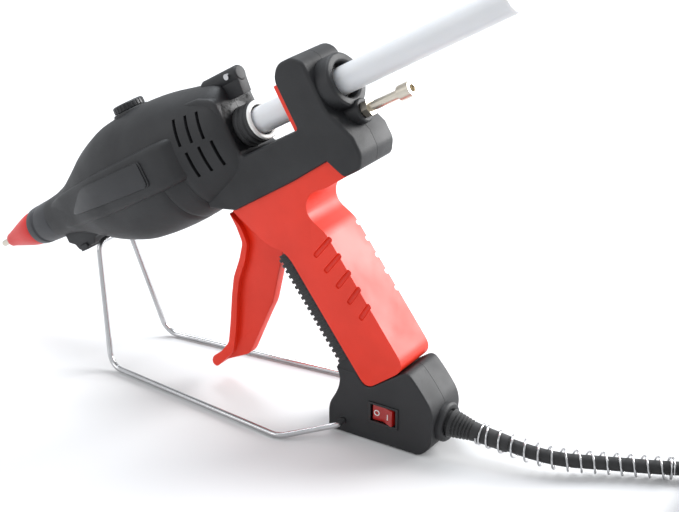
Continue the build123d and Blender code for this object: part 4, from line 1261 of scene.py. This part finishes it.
@dataclass
class Studio:
    """The pale floor, the soft lights and the camera."""

    eye: Point3 = (0.628, -0.832, 0.561)
    view: Point3 = (-0.496, 0.766, -0.408)
    lens: float = 88.6
    target: Point3 = (0.02, 0.0, 0.12)
    floor_half: float = 6.0
    floor_grey: Point3 = (0.7, 0.7, 0.705)
    sky: Point3 = (0.96, 0.98, 1.0)
    sky_strength: float = 0.85
    lamps: tuple[tuple[str, Point3, float, float, Point3], ...] = (
        ("back_window", (0.95, 1.35, 0.75), 0.9, 42.0, (1.0, 1.0, 1.0)),
        ("overhead", (-0.5, 0.4, 1.5), 0.9, 18.0, (0.9, 0.95, 1.0)),
        ("front_fill", (-0.9, -1.4, 0.9), 0.8, 5.0, (1.0, 1.0, 1.0)))

    def build_floor(self) -> None:
        """Lay the plain floor."""
        bm = bmesh.new()
        bmesh.ops.create_grid(bm, x_segments=1, y_segments=1, size=self.floor_half)
        bmesh.ops.translate(bm, vec=(0, 0, -0.0004), verts=bm.verts)
        mesh = bpy.data.meshes.new("floor")
        bm.to_mesh(mesh)
        bm.free()
        floor = bpy.data.objects.new("floor", mesh)
        bpy.context.scene.collection.objects.link(floor)
        paint = bpy.data.materials.new("floor_paint")
        paint.use_nodes = True
        shader = paint.node_tree.nodes["Principled BSDF"]
        shader.inputs["Base Color"].default_value = (*self.floor_grey, 1.0)
        shader.inputs["Roughness"].default_value = 0.7
        shader.inputs["Specular IOR Level"].default_value = 0.2
        floor.data.materials.append(paint)

    def build_light(self, name: str, place: Point3, size: float, power: float, colour: Point3) -> None:
        """Hang one square soft light that points at the gun.

        Args:
            name: Name of the light.
            place: Where it hangs, in metres.
            size: Its side.
            power: Its strength in watts.
            colour: Its colour.
        """
        lamp = bpy.data.lights.new(name, "AREA")
        lamp.shape = "SQUARE"
        lamp.size = size
        lamp.energy = power
        lamp.color = colour
        obj = bpy.data.objects.new(name, lamp)
        obj.location = place
        obj.rotation_euler = (Vector(self.target) - Vector(place)).to_track_quat("-Z", "Y").to_euler()
        bpy.context.scene.collection.objects.link(obj)

    def build(self) -> None:
        """Set the scene up."""
        self.build_floor()
        world = bpy.data.worlds.new("studio")
        world.use_nodes = True
        background = world.node_tree.nodes["Background"]
        background.inputs["Color"].default_value = (*self.sky, 1.0)
        background.inputs["Strength"].default_value = self.sky_strength
        bpy.context.scene.world = world
        bpy.context.scene.view_settings.view_transform = "Standard"
        for lamp in self.lamps:
            self.build_light(*lamp)
        lens = bpy.data.cameras.new("camera")
        lens.lens = self.lens
        lens.sensor_width = 36.0
        lens.clip_start = 0.01
        camera = bpy.data.objects.new("camera", lens)
        camera.location = self.eye
        camera.rotation_euler = Vector(self.view).to_track_quat("-Z", "Y").to_euler()
        bpy.context.scene.collection.objects.link(camera)
        bpy.context.scene.camera = camera


def main() -> None:
    """Build the whole scene in order."""
    logging.basicConfig(level=logging.INFO, format="%(message)s")
    for maker in (Studio(), MainsLead(), BarrelCase(), RearHousing(), Handle(), Trigger(), NozzleEnd(), InletEnd(),
                  Controls(), CarriedNodes()):
        log.info("building %s", type(maker).__name__)
        maker.build()


if __name__ == "__main__":
    main()
